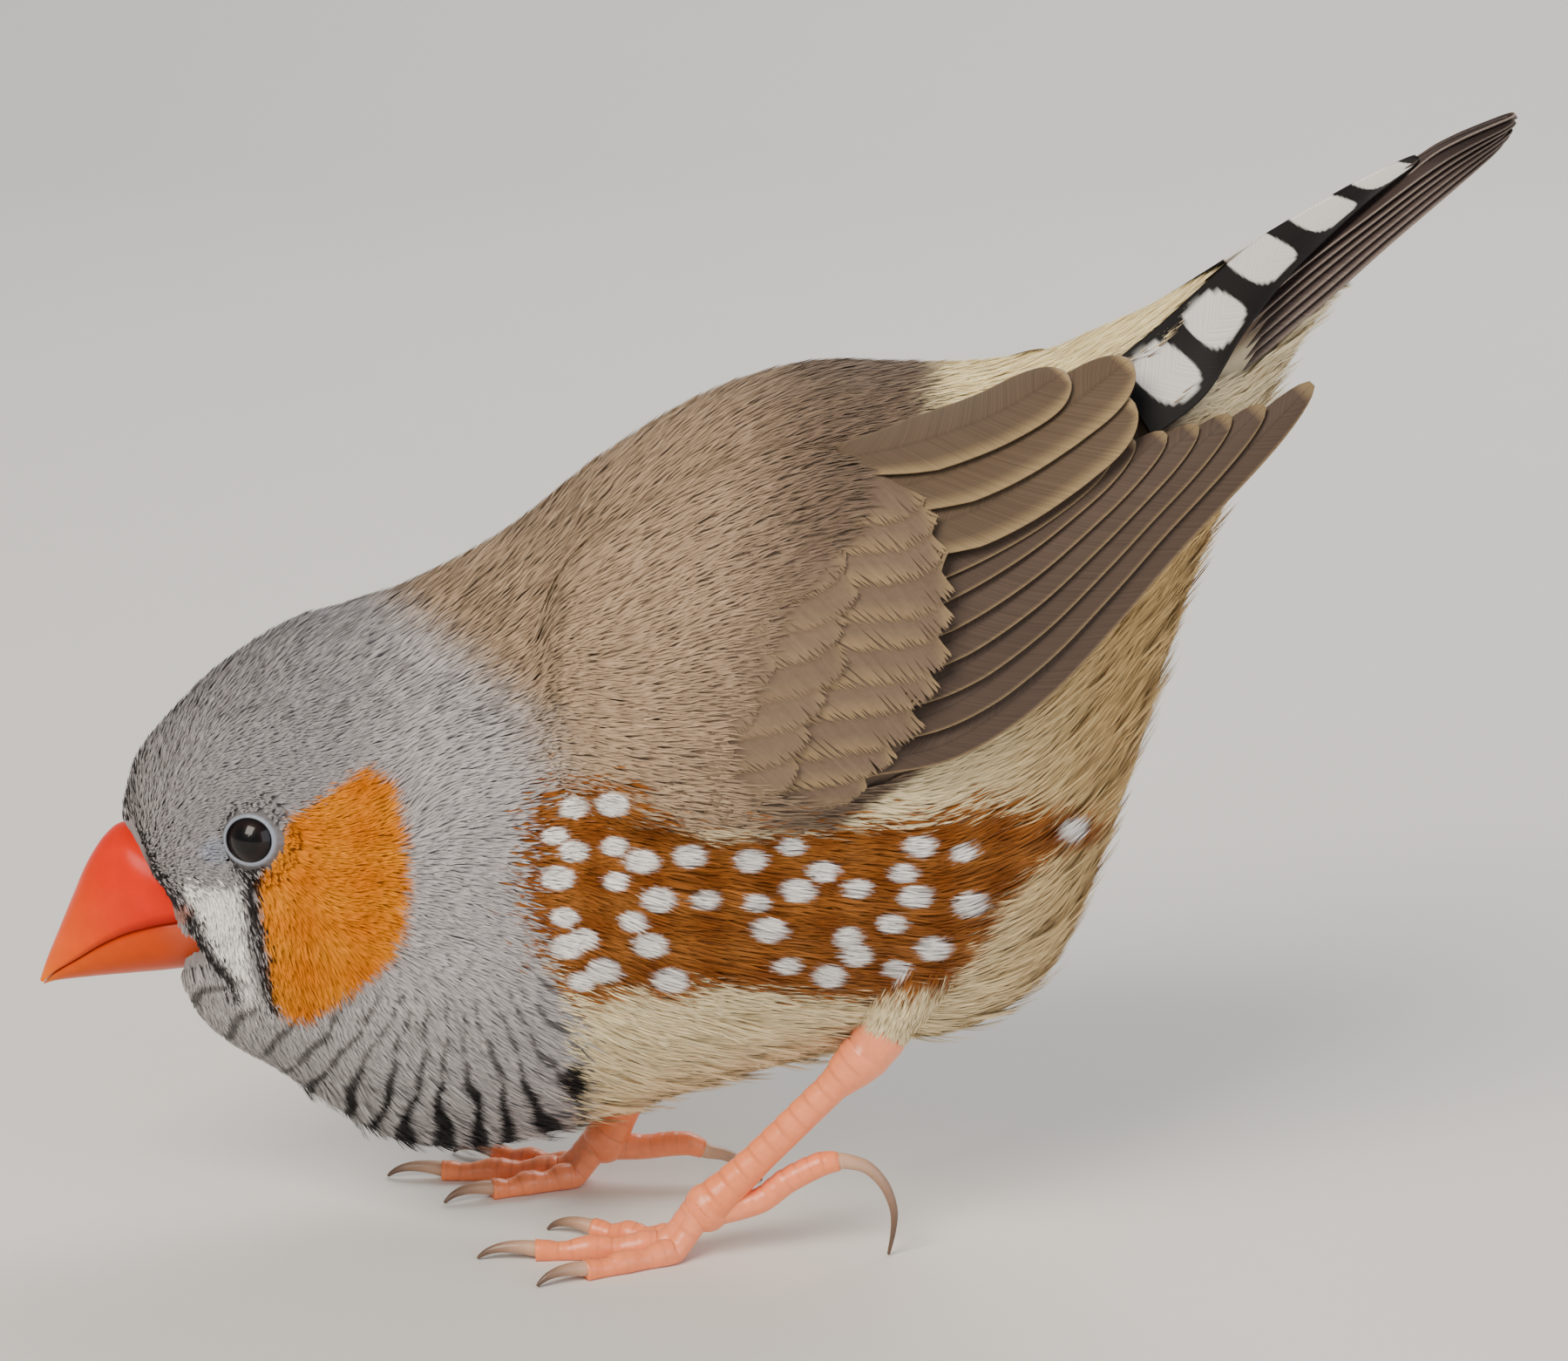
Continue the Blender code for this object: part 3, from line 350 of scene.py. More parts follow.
class FinchStage(bpy.types.PropertyGroup):
    """Floor and lamps."""

    floor: hue_choice("Floor", "Floor and backdrop", "#dcd9d4")
    key: power_choice("Key", "Large lamp at the front left", 9.0)
    fill: power_choice("Fill", "Large lamp at the front right", 3.5)
    rim: power_choice("Rim", "Lamp behind the bird", 4.0)
    sparkle: power_choice("Sparkle", "Small lamp that shows in the eye", 0.25)
    world: share_choice("World", "Strength of the light from all round", 0.35)


def chosen(group, name):
    """What the user has chosen, with lengths in mm and colours as arrays."""
    value = getattr(getattr(bpy.context.scene, group), name)
    if isinstance(value, (int, float)):
        kind = getattr(bpy.context.scene, group).bl_rna.properties[name]
        return value / MM if kind.subtype == "DISTANCE" else value
    return np.array(value)


def hue(name):
    """A colour of the plumage."""
    return chosen("finch_plumage", name)


def unit(vectors):
    """Vectors made 1 long."""
    return vectors / np.linalg.norm(vectors, axis=-1, keepdims=True)


def smooth(value):
    """0 below 0 and 1 above 1, with an easy run between."""
    share = np.clip(value, 0.0, 1.0)
    return share * share * (3 - 2 * share)


def blend(first, second, share):
    """Colours part of the way from the first to the second."""
    return first + (second - first) * np.asarray(share)[..., None]


# ---------------------------------------------------------------------- lofted surfaces
def through(table, at):
    """Rows of a table at fractional indices, on a smooth curve through its rows."""
    rows = np.asarray(table, float)
    at = np.clip(np.asarray(at, float), 0.0, len(rows) - 1.0)
    low = np.minimum(at.astype(int), len(rows) - 2)
    share = (at - low)[..., None]
    before = rows[np.maximum(low - 1, 0)]
    after = rows[np.minimum(low + 2, len(rows) - 1)]
    start, end = rows[low], rows[low + 1]
    rise, fall = (end - before) / 2, (after - start) / 2
    square, cube = share**2, share**3
    return (
        start * (2 * cube - 3 * square + 1)
        + rise * (cube - 2 * square + share)
        + end * (3 * square - 2 * cube)
        + fall * (cube - square)
    )


def section(table, at, degrees):
    """Points at angles round a loft: 0 is the back, 90 the left side, 180 the belly."""
    back_x, back_z, foot_x, foot_z, half_width, widest = np.moveaxis(through(table, at), -1, 0)
    angle = np.radians(degrees)
    across = np.cos(angle)
    down = np.where(across > 0, widest * (1 - across), widest - (1 - widest) * across)
    return np.stack(
        (
            back_x + (foot_x - back_x) * down,
            -half_width * np.sin(angle),
            back_z + (foot_z - back_z) * down,
        ),
        axis=-1,
    )


def directions(table, at, degrees):
    """How a loft's surface moves per station and per degree."""
    step, turn = 0.05, 1.0
    last = len(table) - 1.0
    at = np.clip(at, 0.0, last)
    ahead, behind = np.minimum(at + step, last), np.maximum(at - step, 0.0)
    along = section(table, ahead, degrees) - section(table, behind, degrees)
    around = section(table, at, degrees + turn) - section(table, at, degrees - turn)
    return along / (ahead - behind)[..., None], around / (2 * turn)


def lifted(table, at, degrees, lift):
    """Points raised from a loft along its outward normal, and that normal."""
    at, degrees, lift = np.broadcast_arrays(
        np.asarray(at, float), np.asarray(degrees, float), np.asarray(lift, float)
    )
    inside = np.clip(at, 0.0, len(table) - 1.0)
    along, around = directions(table, inside, degrees)
    normal = unit(np.cross(around, along))
    point = section(table, inside, degrees) + along * (at - inside)[..., None]
    return point + normal * lift[..., None], normal


def seen(points):
    """Across and up in the side view. The right side is seen mirrored on to the left."""
    x, y, z = np.moveaxis(points, -1, 0)
    y = -np.abs(y)
    height = z - TARGET_HEIGHT
    toward = -y * math.cos(VIEW_RISE) + height * math.sin(VIEW_RISE)
    up = y * math.sin(VIEW_RISE) + height * math.cos(VIEW_RISE)
    scale = VIEW_DISTANCE / (VIEW_DISTANCE - toward)
    return x * scale, up * scale


# ---------------------------------------------------------------------- markings
def line_distance(across, up, line, closed=False):
    """Distance to a line of points in the side view, in mm."""
    points = np.asarray(line, float)
    ends = np.roll(points, -1, axis=0) if closed else points[1:]
    best = np.full(across.shape, np.inf)
    for (x0, z0), (x1, z1) in zip(points, ends):
        dx, dz = x1 - x0, z1 - z0
        share = np.clip(((across - x0) * dx + (up - z0) * dz) / (dx * dx + dz * dz), 0.0, 1.0)
        gap = np.hypot(across - x0 - dx * share, up - z0 - dz * share)
        best = np.minimum(best, gap)
    return best


def inside_by(across, up, outline):
    """How far points lie inside an outline, in mm, negative outside."""
    points = np.asarray(outline, float)
    hits = np.zeros(across.shape, bool)
    for (x0, z0), (x1, z1) in zip(points, np.roll(points, -1, axis=0)):
        if z0 != z1:
            crosses = (z0 > up) != (z1 > up)
            hits ^= crosses & (across < (x1 - x0) * (up - z0) / (z1 - z0) + x0)
    gap = line_distance(across, up, outline, closed=True)
    return np.where(hits, gap, -gap)


def limit(table, place):
    """A border line's value at places along it."""
    places, values = np.asarray(table, float).T
    return np.interp(place, places, values)


def body_layers(across, up, rough):
    """Grey that turns brown along the back, and underparts that turn from white to buff."""
    under = np.minimum(limit(UNDER_TOP, across) - up, across + 15.5 + rough * 4)
    return (
        (hue("grey_pale"), smooth((across + 30.0) / 8.0) * 0.9),
        (hue("mantle"), smooth((across - limit(GREY_END, up) + 2.5 + rough * 3) / 6.0)),
        (blend(hue("mantle"), hue("wing_brown"), smooth((across + 6.0) / 10.0)),
         smooth((across + 10.0) / 8.0)),
        (blend(hue("belly"), hue("vent"), smooth((across - 5.0) / 18.0)),
         smooth((under + rough) / 0.8)),
    )


def throat_layers(across, up, rough):
    """Black bars on grey that spread from a point at the side of the neck, and a black patch."""
    breast = (limit(BREAST_END, up) - across) * 1.5 + rough * 7
    depth = np.minimum(limit(THROAT_TOP, across) - up, breast)
    throat = smooth((depth + rough + 0.6) / 1.2) * (across < -11.0)
    out = np.hypot(across - BAR_PIVOT[0], up - BAR_PIVOT[1])
    turn = np.degrees(np.arctan2(up - BAR_PIVOT[1], across - BAR_PIVOT[0]))
    turn = turn + 1.2 * np.sin(out * 0.8 + turn * 0.23) + 0.5 * np.sin(out * 2.3 + turn * 0.31)
    phase = np.abs((turn / BAR_STEP) % 1.0 - 0.5) * 2.0
    gaps = 0.5 + 0.5 * np.sin(out * 1.9 + np.floor(turn / BAR_STEP + 0.5) * 2.4)
    thick = 0.25 + 0.12 * smooth((out - 7.0) / 7.0) + 0.32 * smooth((-27.2 - up) / 2.5)
    thick = thick - 0.16 * smooth((gaps - 0.85) / 0.12) * (up > -26.5) - 0.08 * (across < -31.0)
    bars = smooth((phase - (1 - thick) + rough * 0.25) / 0.16)
    bars = bars * smooth((out - 5.6 - rough) / 2.0) * (0.72 + 0.28 * smooth((-24.0 - up) / 3.0))
    patch = 1.0 - np.hypot((across + 13.3) * 0.9, (up + 25.6) * 0.75)
    return (
        (blend(hue("throat"), hue("grey_pale"), smooth((up + 24) / 5.0)), throat),
        (hue("black"), throat * bars),
        (hue("black"), smooth((patch + rough) / 0.5)),
    )


def flank_layers(across, up, rough, fleck):
    """White spots of several sizes on the chestnut flank."""
    nearest = np.full(across.shape, np.inf)
    for place, (x, z) in enumerate(FLANK_SPOTS):
        size = 1.0 + 0.16 * math.sin(place * 2.4)
        gap = np.hypot((across - x) / SPOT_LONG, (up - z) / SPOT_HIGH) / size
        nearest = np.minimum(nearest, gap)
    flank = np.maximum(inside_by(across, up, FLANK), 1.7 - nearest)
    ragged = np.where((across < -11.0) | (up > -9.5), 5.0, 2.2)
    return (
        (blend(hue("chestnut"), hue("chestnut_pale"), fleck),
         smooth((flank + rough * ragged + 0.3) / 0.7)),
        (hue("white"), smooth((1.0 - nearest + rough * 0.35) / 0.16)),
    )


def face_layers(across, up, rough, fleck, sideways):
    """Cheek, the white stripe before it, bare skin and the fine black lines round them."""
    cheek, stripe = inside_by(across, up, CHEEK), inside_by(across, up, STRIPE)
    lore = 1.6 - np.hypot((across + 37.2) / 1.1, up + 10.8)
    bare = 1.0 - np.hypot((across + 36.1) / 1.5, (up + 10.9) / 0.9)
    flesh = 0.75 - np.hypot(across + 38.3, (up + 14.9) * 0.9)
    layers = [
        (blend(hue("cheek_orange"), hue("cheek_pale"), fleck),
         smooth((cheek + rough * 1.2 + 0.2) / 0.5)),
        (hue("white"), smooth((stripe + rough * 2.6) / 0.7)),
        (hue("lore"), smooth((lore + rough) / 1.0) * 0.6),
        (hue("eye_skin"), smooth((bare + rough) / 0.5) * 0.55),
        (hue("gape_flesh"), smooth((flesh + rough) / 0.3) * 0.8),
    ]
    # each line, how fast it widens upwards and how far out on the face it starts
    for line, widens, start in ((TEAR_LINE, 0.022, 4.6), (BILL_LINE, 0.0, 2.6),
                                (GAPE_LINE, 0.022, 4.6)):
        wide = LINE_WIDTH + widens * (up + 16.0)
        inked = smooth((wide * 1.2 - line_distance(across, up, line) + rough * 1.8) / 0.2)
        layers.append((hue("black"), inked * 0.96 * smooth((sideways - start) / 1.5)))
    layers.append((hue("grey"), smooth(inside_by(across, up, BILL_SIDE) / 0.3) * 0.9))
    return layers


def rump_layers(points, rough):
    """Cream on the rump and under the tail, and black and white bars over it."""
    x, y, z = np.moveaxis(points, -1, 0)
    rump = np.minimum(np.minimum(x - 9.0, 7.0 - np.abs(y)), z - 51.0 - (x - 10.0) * 0.55)
    ahead, above = x - TAIL_ROOT[0], z - TAIL_ROOT[1]
    along = ahead * TAIL_WAY[0] + above * TAIL_WAY[1]
    high = above * TAIL_WAY[0] - ahead * TAIL_WAY[1]
    beneath = smooth((along + 3.0 + rough * 3) / 3.0) * smooth((-1.2 - high) / 1.0)
    bars = np.min(np.abs(along[..., None] - np.array(WHITE_BARS)), axis=-1)
    return (
        (hue("rump_cream"), smooth((rump + rough * 3.5) / 1.0)),
        (hue("under_tail"), beneath * 0.85),
        (blend(hue("black"), hue("white"), smooth((1.6 - bars) / 0.4)),
         smooth((along - 4.6 + rough) / 0.8) * smooth((high - 0.3) / 0.6)),
    )


def markings(points, rough):
    """Plumage colour at points. rough shifts each marking's edge, in mm, per barb."""
    across, up = seen(points)
    fleck = 0.3 + 0.3 * (0.5 * np.sin(across * 1.7) + 0.5 * np.sin(up * 2.1))
    colour = np.broadcast_to(hue("grey"), points.shape)
    for over, share in (
        *body_layers(across, up, rough),
        *throat_layers(across, up, rough),
        *flank_layers(across, up, rough, fleck),
        *face_layers(across, up, rough, fleck, np.abs(points[..., 1])),
        *rump_layers(points, rough),
    ):
        colour = blend(colour, over, share)
    return np.clip(colour, 0.0, 1.0)


# ---------------------------------------------------------------------- meshes and materials
def row_shift():
    """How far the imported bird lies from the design, in mm, found from the left eye."""
    low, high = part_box("eye_left")
    return np.array((low + high) / 2 / MM) - eye_place()[0]


def eye_place():
    """The left eye's centre and the way it looks."""
    surface, normal = lifted(BODY, np.array([EYE_STATION]), np.array([EYE_ANGLE]), 0.0)
    return surface[0] - normal[0] * EYE_SUNK, normal[0]


def mesh_object(name, points, faces, colour, normals=None, web=None):
    """A mesh from points in mm and arrays of faces, with a colour and more values per vertex."""
    mesh = bpy.data.meshes.new(name)
    corners = np.concatenate([part.ravel() for part in faces])
    counts = np.concatenate([np.full(len(part), part.shape[1]) for part in faces])
    mesh.vertices.add(len(points))
    mesh.loops.add(len(corners))
    mesh.polygons.add(len(counts))
    places = (np.asarray(points, float) + SHIFT) * MM
    mesh.vertices.foreach_set("co", places.astype(np.float32).ravel())
    mesh.loops.foreach_set("vertex_index", corners.astype(np.int32))
    mesh.polygons.foreach_set("loop_start", (np.cumsum(counts) - counts).astype(np.int32))
    mesh.update(calc_edges=True)
    mesh.shade_smooth()
    layer = mesh.color_attributes.new("colour", "FLOAT_COLOR", "POINT")
    full = np.concatenate((np.clip(colour, 0.0, 1.0), np.ones((len(colour), 1))), axis=1)
    layer.data.foreach_set("color", full.astype(np.float32).ravel())
    if web is not None:
        layer = mesh.attributes.new("web", "FLOAT_VECTOR", "POINT")
        layer.data.foreach_set("vector", web.astype(np.float32).ravel())
    if normals is not None:
        mesh.normals_split_custom_set_from_vertices(normals.astype(np.float32))
    made = bpy.data.objects.new(name, mesh)
    bpy.context.scene.collection.objects.link(made)
    return made


def grid_quads(rows, columns, wrap=False):
    """Quads of a grid of vertices, joined round on itself with wrap."""
    across = columns if wrap else columns - 1
    row, column = np.meshgrid(np.arange(rows - 1), np.arange(across), indexing="ij")
    after = (column + 1) % columns
    corners = (
        row * columns + column,
        row * columns + after,
        (row + 1) * columns + after,
        (row + 1) * columns + column,
    )
    return np.stack(corners, axis=-1).reshape(-1, 4)


def add_node(tree, kind, inputs=None, **settings):
    """Adds a node. inputs holds a value or another node's output for each socket."""
    made = tree.nodes.new(kind)
    for key, value in settings.items():
        setattr(made, key, value)
    for key, value in (inputs or {}).items():
        if isinstance(value, bpy.types.NodeSocket):
            tree.links.new(value, made.inputs[key])
        else:
            made.inputs[key].default_value = value
    return made


def new_material(name):
    """An empty node material and its tree."""
    made = bpy.data.materials.new(name)
    made.use_nodes = True
    made.node_tree.nodes.clear()
    return made, made.node_tree


def pattern(size):
    """The scale of a noise whose blotches are about size mm across."""
    return 1.0 / (size * MM)


def surface_output(tree, finish):
    """The shader with its settings and links, joined to the material's output."""
    shader = add_node(tree, "ShaderNodeBsdfPrincipled", finish)
    add_node(tree, "ShaderNodeOutputMaterial", {"Surface": shader.outputs["BSDF"]})


def mottled(name, grain, tones, finish, relief=0.0, place_in=None):
    """A material in the colour of its piece, lightened and darkened by a fine noise.

    grain, tones and finish are settings of the noise, of its range and of the shader. relief is
    how strongly the noise stands out, and place_in finds places other than the object's own.
    """
    made, tree = new_material(name)
    place = place_in(tree) if place_in else add_node(tree, "ShaderNodeTexCoord").outputs["Object"]
    colour = add_node(tree, "ShaderNodeAttribute", attribute_name="colour")
    noise = add_node(tree, "ShaderNodeTexNoise", {"Vector": place, **grain})
    tone = add_node(tree, "ShaderNodeMapRange", {"Value": noise.outputs["Fac"], **tones})
    mixed = add_node(
        tree,
        "ShaderNodeHueSaturation",
        {"Color": colour.outputs["Color"], "Value": tone.outputs["Result"]},
    )
    links = {"Base Color": mixed.outputs["Color"]}
    if relief:
        height = {"Height": noise.outputs["Fac"], "Strength": relief, "Distance": 0.1 * MM}
        links["Normal"] = add_node(tree, "ShaderNodeBump", height).outputs["Normal"]
    surface_output(tree, {**finish, **links})
    return made


def plumage_material(name):
    """Feather keratin in loose barbs: dull, soft at the edges and mottled along each barb."""
    # The barbules on a barb stand about 0.03 mm apart, too fine to show, so the mottling is 0.385
    return mottled(
        name, {"Scale": pattern(0.385), "Detail": 2.0}, {"To Min": 0.88, "To Max": 1.12},
        {"Roughness": 0.8, "Specular IOR Level": 0.12, "Sheen Weight": 0.06,
         "Sheen Roughness": 0.5},
    )


def place_on_web(tree):
    """Places on a vane, slanted so that a noise runs along the barbs."""
    web = add_node(tree, "ShaderNodeAttribute", attribute_name="web")
    parts = add_node(tree, "ShaderNodeSeparateXYZ", {"Vector": web.outputs["Vector"]})
    out = add_node(tree, "ShaderNodeMath", {0: parts.outputs["Y"]}, operation="ABSOLUTE")
    run = add_node(
        tree,
        "ShaderNodeMath",
        {0: out.outputs[0], 1: -BARB_SLANT, 2: parts.outputs["X"]},
        operation="MULTIPLY_ADD",
    )
    place = add_node(tree, "ShaderNodeCombineXYZ", {"X": run.outputs[0], "Z": parts.outputs["Z"]})
    return place.outputs["Vector"]


def vane_material(name):
    """Feather keratin in a close web: barbs that slant from the shaft, with a slight gloss."""
    # The web is stated in mm, so the scale is in mm too
    return mottled(
        name, {"Scale": 1.0 / BARB_GAP, "Detail": 3.0, "Roughness": 0.6},
        {"From Min": 0.3, "From Max": 0.7, "To Min": 0.78, "To Max": 1.22},
        {"Roughness": 0.6, "Specular IOR Level": 0.22}, 0.25, place_on_web,
    )


def finish_piece(made, kind, replaced=()):
    """Gives a piece its material and the body it rides, and hides the solids it replaces."""
    if kind not in MATERIALS:
        maker, *settings = MATERIAL_MAKERS[kind]
        MATERIALS[kind] = maker(*settings)
    made.data.materials.append(MATERIALS[kind])
    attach(made, BODY_NAME)
    if replaced:
        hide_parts(*replaced)


def from_back(degrees):
    """Degrees from the back down either side, 0 to 180."""
    return np.abs((degrees + 180.0) % 360.0 - 180.0)


def arm_edges(at):
    """How far along the folded arm stations lie, 0 to 1, and the degrees of its two edges."""
    edges = np.asarray(ARM_EDGES, float)
    run = np.interp(at, edges[:, 0], np.linspace(0.0, 1.0, len(edges)))
    rows = through(edges, run * (len(edges) - 1))
    return run, rows[..., 1], rows[..., 2]


def bake_map(made, places):
    """A map for the coat's colour: a place for each corner of each face."""
    layer = made.data.uv_layers.new(name="OFBake")
    corners = np.zeros(len(made.data.loops), np.int32)
    made.data.loops.foreach_get("vertex_index", corners)
    layer.data.foreach_set("uv", places[corners].astype(np.float32).ravel())


# ---------------------------------------------------------------------- coat
# A tuft's patch in the bake map, and the most triangles that one object of the coat may have
PATCH = 0.003
MOST_TRIANGLES = 190000


def lie_at(points):
    """The way feathers lie at points, from the table of places in the side view."""
    across, up = seen(points)
    table = np.asarray(LIE, float)
    gaps = np.hypot(across[:, None] - table[:, 0], up[:, None] - table[:, 1]) + 0.4
    weights = gaps**-LIE_REACH
    weights /= weights.sum(1, keepdims=True)
    flat = weights @ table[:, 2:]
    return unit(np.stack((flat[:, 0], np.zeros(len(flat)), flat[:, 1]), axis=-1))


def arm_lift(at, degrees):
    """How far the wing's arm stands over the body at stations and degrees of the left side."""
    run, top, foot = arm_edges(at)
    off = np.abs(2 * (degrees - top) / (foot - top) - 1)
    swell = np.sin(math.pi / 2 * np.minimum(run / 0.4, 1.0))
    lift = ARM_CLEAR + ARM_EDGE + ARM_THICKNESS * swell * (1 - np.clip(off, 0.0, 1.0) ** 4)
    return lift * (smooth((1.12 - off) / 0.2) * smooth((at - 7.0) / 0.8))


def coat_lift(at, degrees):
    """Height of the coat's roots over the body: the wing's arm stands out from it."""
    return arm_lift(at, from_back(degrees)) * (1 - smooth((at - 10.6) / 0.5))


def travelled(speeds, places):
    """Distance up to each place, from how fast the surface moves there."""
    return np.concatenate(([0.0], np.cumsum((speeds[1:] + speeds[:-1]) / 2 * np.diff(places))))


def root_places(first, last, along_gap, round_gap, seed):
    """Stations and degrees of tuft roots, in rows with every other row set over by half."""
    rng = np.random.default_rng(seed)
    fine = np.linspace(first, last, 400)
    angles = np.arange(0.0, 360.0, 20.0)
    speeds = np.zeros(len(fine))
    for angle in angles:
        along = directions(BODY, fine, np.full(len(fine), angle))[0]
        speeds += np.linalg.norm(along, axis=1) / len(angles)
    length = travelled(speeds, fine)
    rows = np.interp(np.arange(0.0, length[-1], along_gap), length, fine)
    all_at, all_degrees = [], []
    turn = np.arange(0.0, 361.0, 4.0)
    for place, at in enumerate(rows):
        around = directions(BODY, np.full(len(turn), at), turn)[1]
        girth = travelled(np.linalg.norm(around, axis=1), turn)
        count = max(int(girth[-1] / round_gap), 8)
        spots = (np.arange(count) + 0.5 * (place % 2) + rng.uniform(-0.35, 0.35, count)) / count
        all_degrees.append(np.interp((spots % 1.0) * girth[-1], girth, turn))
        all_at.append(at + rng.uniform(-0.35, 0.35, count) * (rows[1] - rows[0]))
    return np.concatenate(all_at), np.concatenate(all_degrees)


def strip_form(levels):
    """A strip that ends in a point: how far along it and at which edge its points lie, and its
    triangles."""
    share = np.concatenate((np.repeat(np.arange(levels) / levels, 2), [1.0]))
    edge = np.concatenate((np.tile([-1.0, 1.0], levels), [0.0]))
    pairs = 2 * np.arange(levels - 1)[:, None] + np.array((0, 3, 1, 0, 2, 3))
    end = 2 * levels - 2
    return share, edge, np.append(pairs.ravel(), (end, end + 2, end + 1)).reshape(-1, 3)


def strips(tufts, barbs, roll, seed, levels=3, lie=None, table=BODY):
    """Tufts of barbs: thin strips that fan out from each root and follow the surface.

    tufts has a column for each tuft: its station and degrees, how long and how wide it is, how
    deep its root lies, how high its tip lies and how much darker it is. Returns the points, the
    surface's normals there, triangles, places in the bake map, the barb each point is of, how far
    along its barb it lies and its tone.
    """
    at, degrees, length, width, depth, lift, speck = tufts
    rng = np.random.default_rng(seed)
    count = len(at)
    root, normal = lifted(table, at, degrees, 0.0)
    along, around = directions(table, at, degrees)
    way = lie_at(root) if lie is None else lie
    way = unit(way - normal * np.sum(way * normal, axis=1, keepdims=True))
    metric = np.empty((count, 2, 2))
    metric[:, 0, 0] = np.sum(along * along, axis=1)
    metric[:, 0, 1] = metric[:, 1, 0] = np.sum(along * around, axis=1)
    metric[:, 1, 1] = np.sum(around * around, axis=1)
    inverse = np.linalg.inv(metric)

    def in_table(vector):
        spread = np.stack((np.sum(vector * along, axis=1), np.sum(vector * around, axis=1)), -1)
        return np.einsum("nij,nj->in", inverse, spread)[:, :, None, None]

    way_step, side_step = in_table(way), in_table(np.cross(normal, way))
    # one row per tuft, then per barb, then per level with its two edges
    fan = np.linspace(-1.0, 1.0, barbs)[None, :] + rng.uniform(-0.12, 0.12, (count, barbs))
    reach = length[:, None] * (1 - 0.28 * fan**2) * rng.uniform(0.86, 1.08, (count, barbs))
    tilt = rng.uniform(-roll, roll, (count, barbs))
    bend = rng.uniform(-0.1, 0.1, (count, barbs))
    high = rng.uniform(-0.05, 0.05, (count, barbs)) + rng.uniform(-0.08, 0.08, (count, 1))
    share, edge, tris = strip_form(levels)
    thin = chosen("finch_coat", "barb_width") / 2 * (1 - 0.55 * share**2)
    ahead = reach[:, :, None] * share
    spread = width[:, None, None] / 2 * fan[:, :, None] * (0.3 + 0.7 * smooth(share / 0.55))
    spread = spread + bend[:, :, None] * ahead * share
    spread = spread + edge * thin * np.cos(tilt)[:, :, None]
    raised = -depth[:, None, None] + (depth + lift)[:, None, None] * share**0.8
    raised = raised + high[:, :, None] * share + edge * thin * np.sin(tilt)[:, :, None]
    new_at = at[:, None, None] + way_step[0] * ahead + side_step[0] * spread
    new_degrees = degrees[:, None, None] + way_step[1] * ahead + side_step[1] * spread
    if table is BODY:
        raised = raised + coat_lift(new_at, new_degrees)
    points, out = lifted(table, new_at.ravel(), new_degrees.ravel(), raised.ravel())
    faces = (np.arange(count * barbs)[:, None, None] * len(share) + tris).reshape(-1, 3)
    tuft_u = (degrees % 360.0) / 360.0 * (1 - PATCH)
    tuft_v = np.clip(at / BODY_END, 0.0, 1.0) * (1 - PATCH)
    local_u = np.clip(0.5 + spread / (width[:, None, None] * 1.4 + 0.3), 0.0, 1.0) * PATCH
    local_v = np.broadcast_to(share, spread.shape) * PATCH
    bake = np.stack(
        ((tuft_u[:, None, None] + local_u).ravel(), (tuft_v[:, None, None] + local_v).ravel()), -1
    )
    barb = np.repeat(np.arange(count * barbs), len(share))
    tone = (1 + rng.normal(0.0, 0.05, (count, 1)) - 0.08 * (1 - np.abs(fan))) * (1 - speck[:, None])
    tone = np.repeat(tone.ravel(), len(share))
    return points, out, faces, bake, barb, np.tile(share, count * barbs), tone


def coat_piece(name, tufts, seed):
    """One object of the coat from the strips of its tufts."""
    points, normals, faces, bake, barb, share, tone = tufts
    rng = np.random.default_rng(seed)
    count = barb.max() + 1
    rough = np.clip(rng.normal(0.0, 0.16, count), -0.4, 0.4)[barb]
    light = (1 + rng.normal(0.0, 0.07, count))[barb]
    # each barb is drawn darker towards its root: painted shade under the tufts that lie over it
    dark = chosen("finch_coat", "root_shade")
    shade = (dark + (1 - dark) * smooth(share / 0.7)) * light * tone
    colour = markings(points, rough) * shade[:, None]
    wander = rng.normal(0.0, 0.15, (count, 3))[barb]
    made = mesh_object(name, points, [faces], colour, unit(normals + wander))
    bake_map(made, bake)
    finish_piece(made, "plumage")


def bill_holds(points):
    """Whether points lie in the bill, where no feather grows."""
    culmen, mouth, gonys = (np.array(line[::-1]).T for line in (CULMEN, MOUTH, GONYS))
    x, y, z = points.T
    middle = np.interp(x, *mouth)
    half = np.interp(x, mouth[0], BILL_HALF_WIDTHS[::-1])
    top = np.interp(x, *culmen, left=0.0)
    foot = np.interp(x, *gonys)
    tall = np.where(z > middle, np.maximum(top - middle, 0.3), np.maximum(middle - foot, 0.3))
    tall = np.where((x > culmen[0, -1]) & (z > middle), 4.6, tall)
    return ((y / half) ** 2 + ((z - middle) / tall) ** 2 < 1.0) & (x < -36.5)


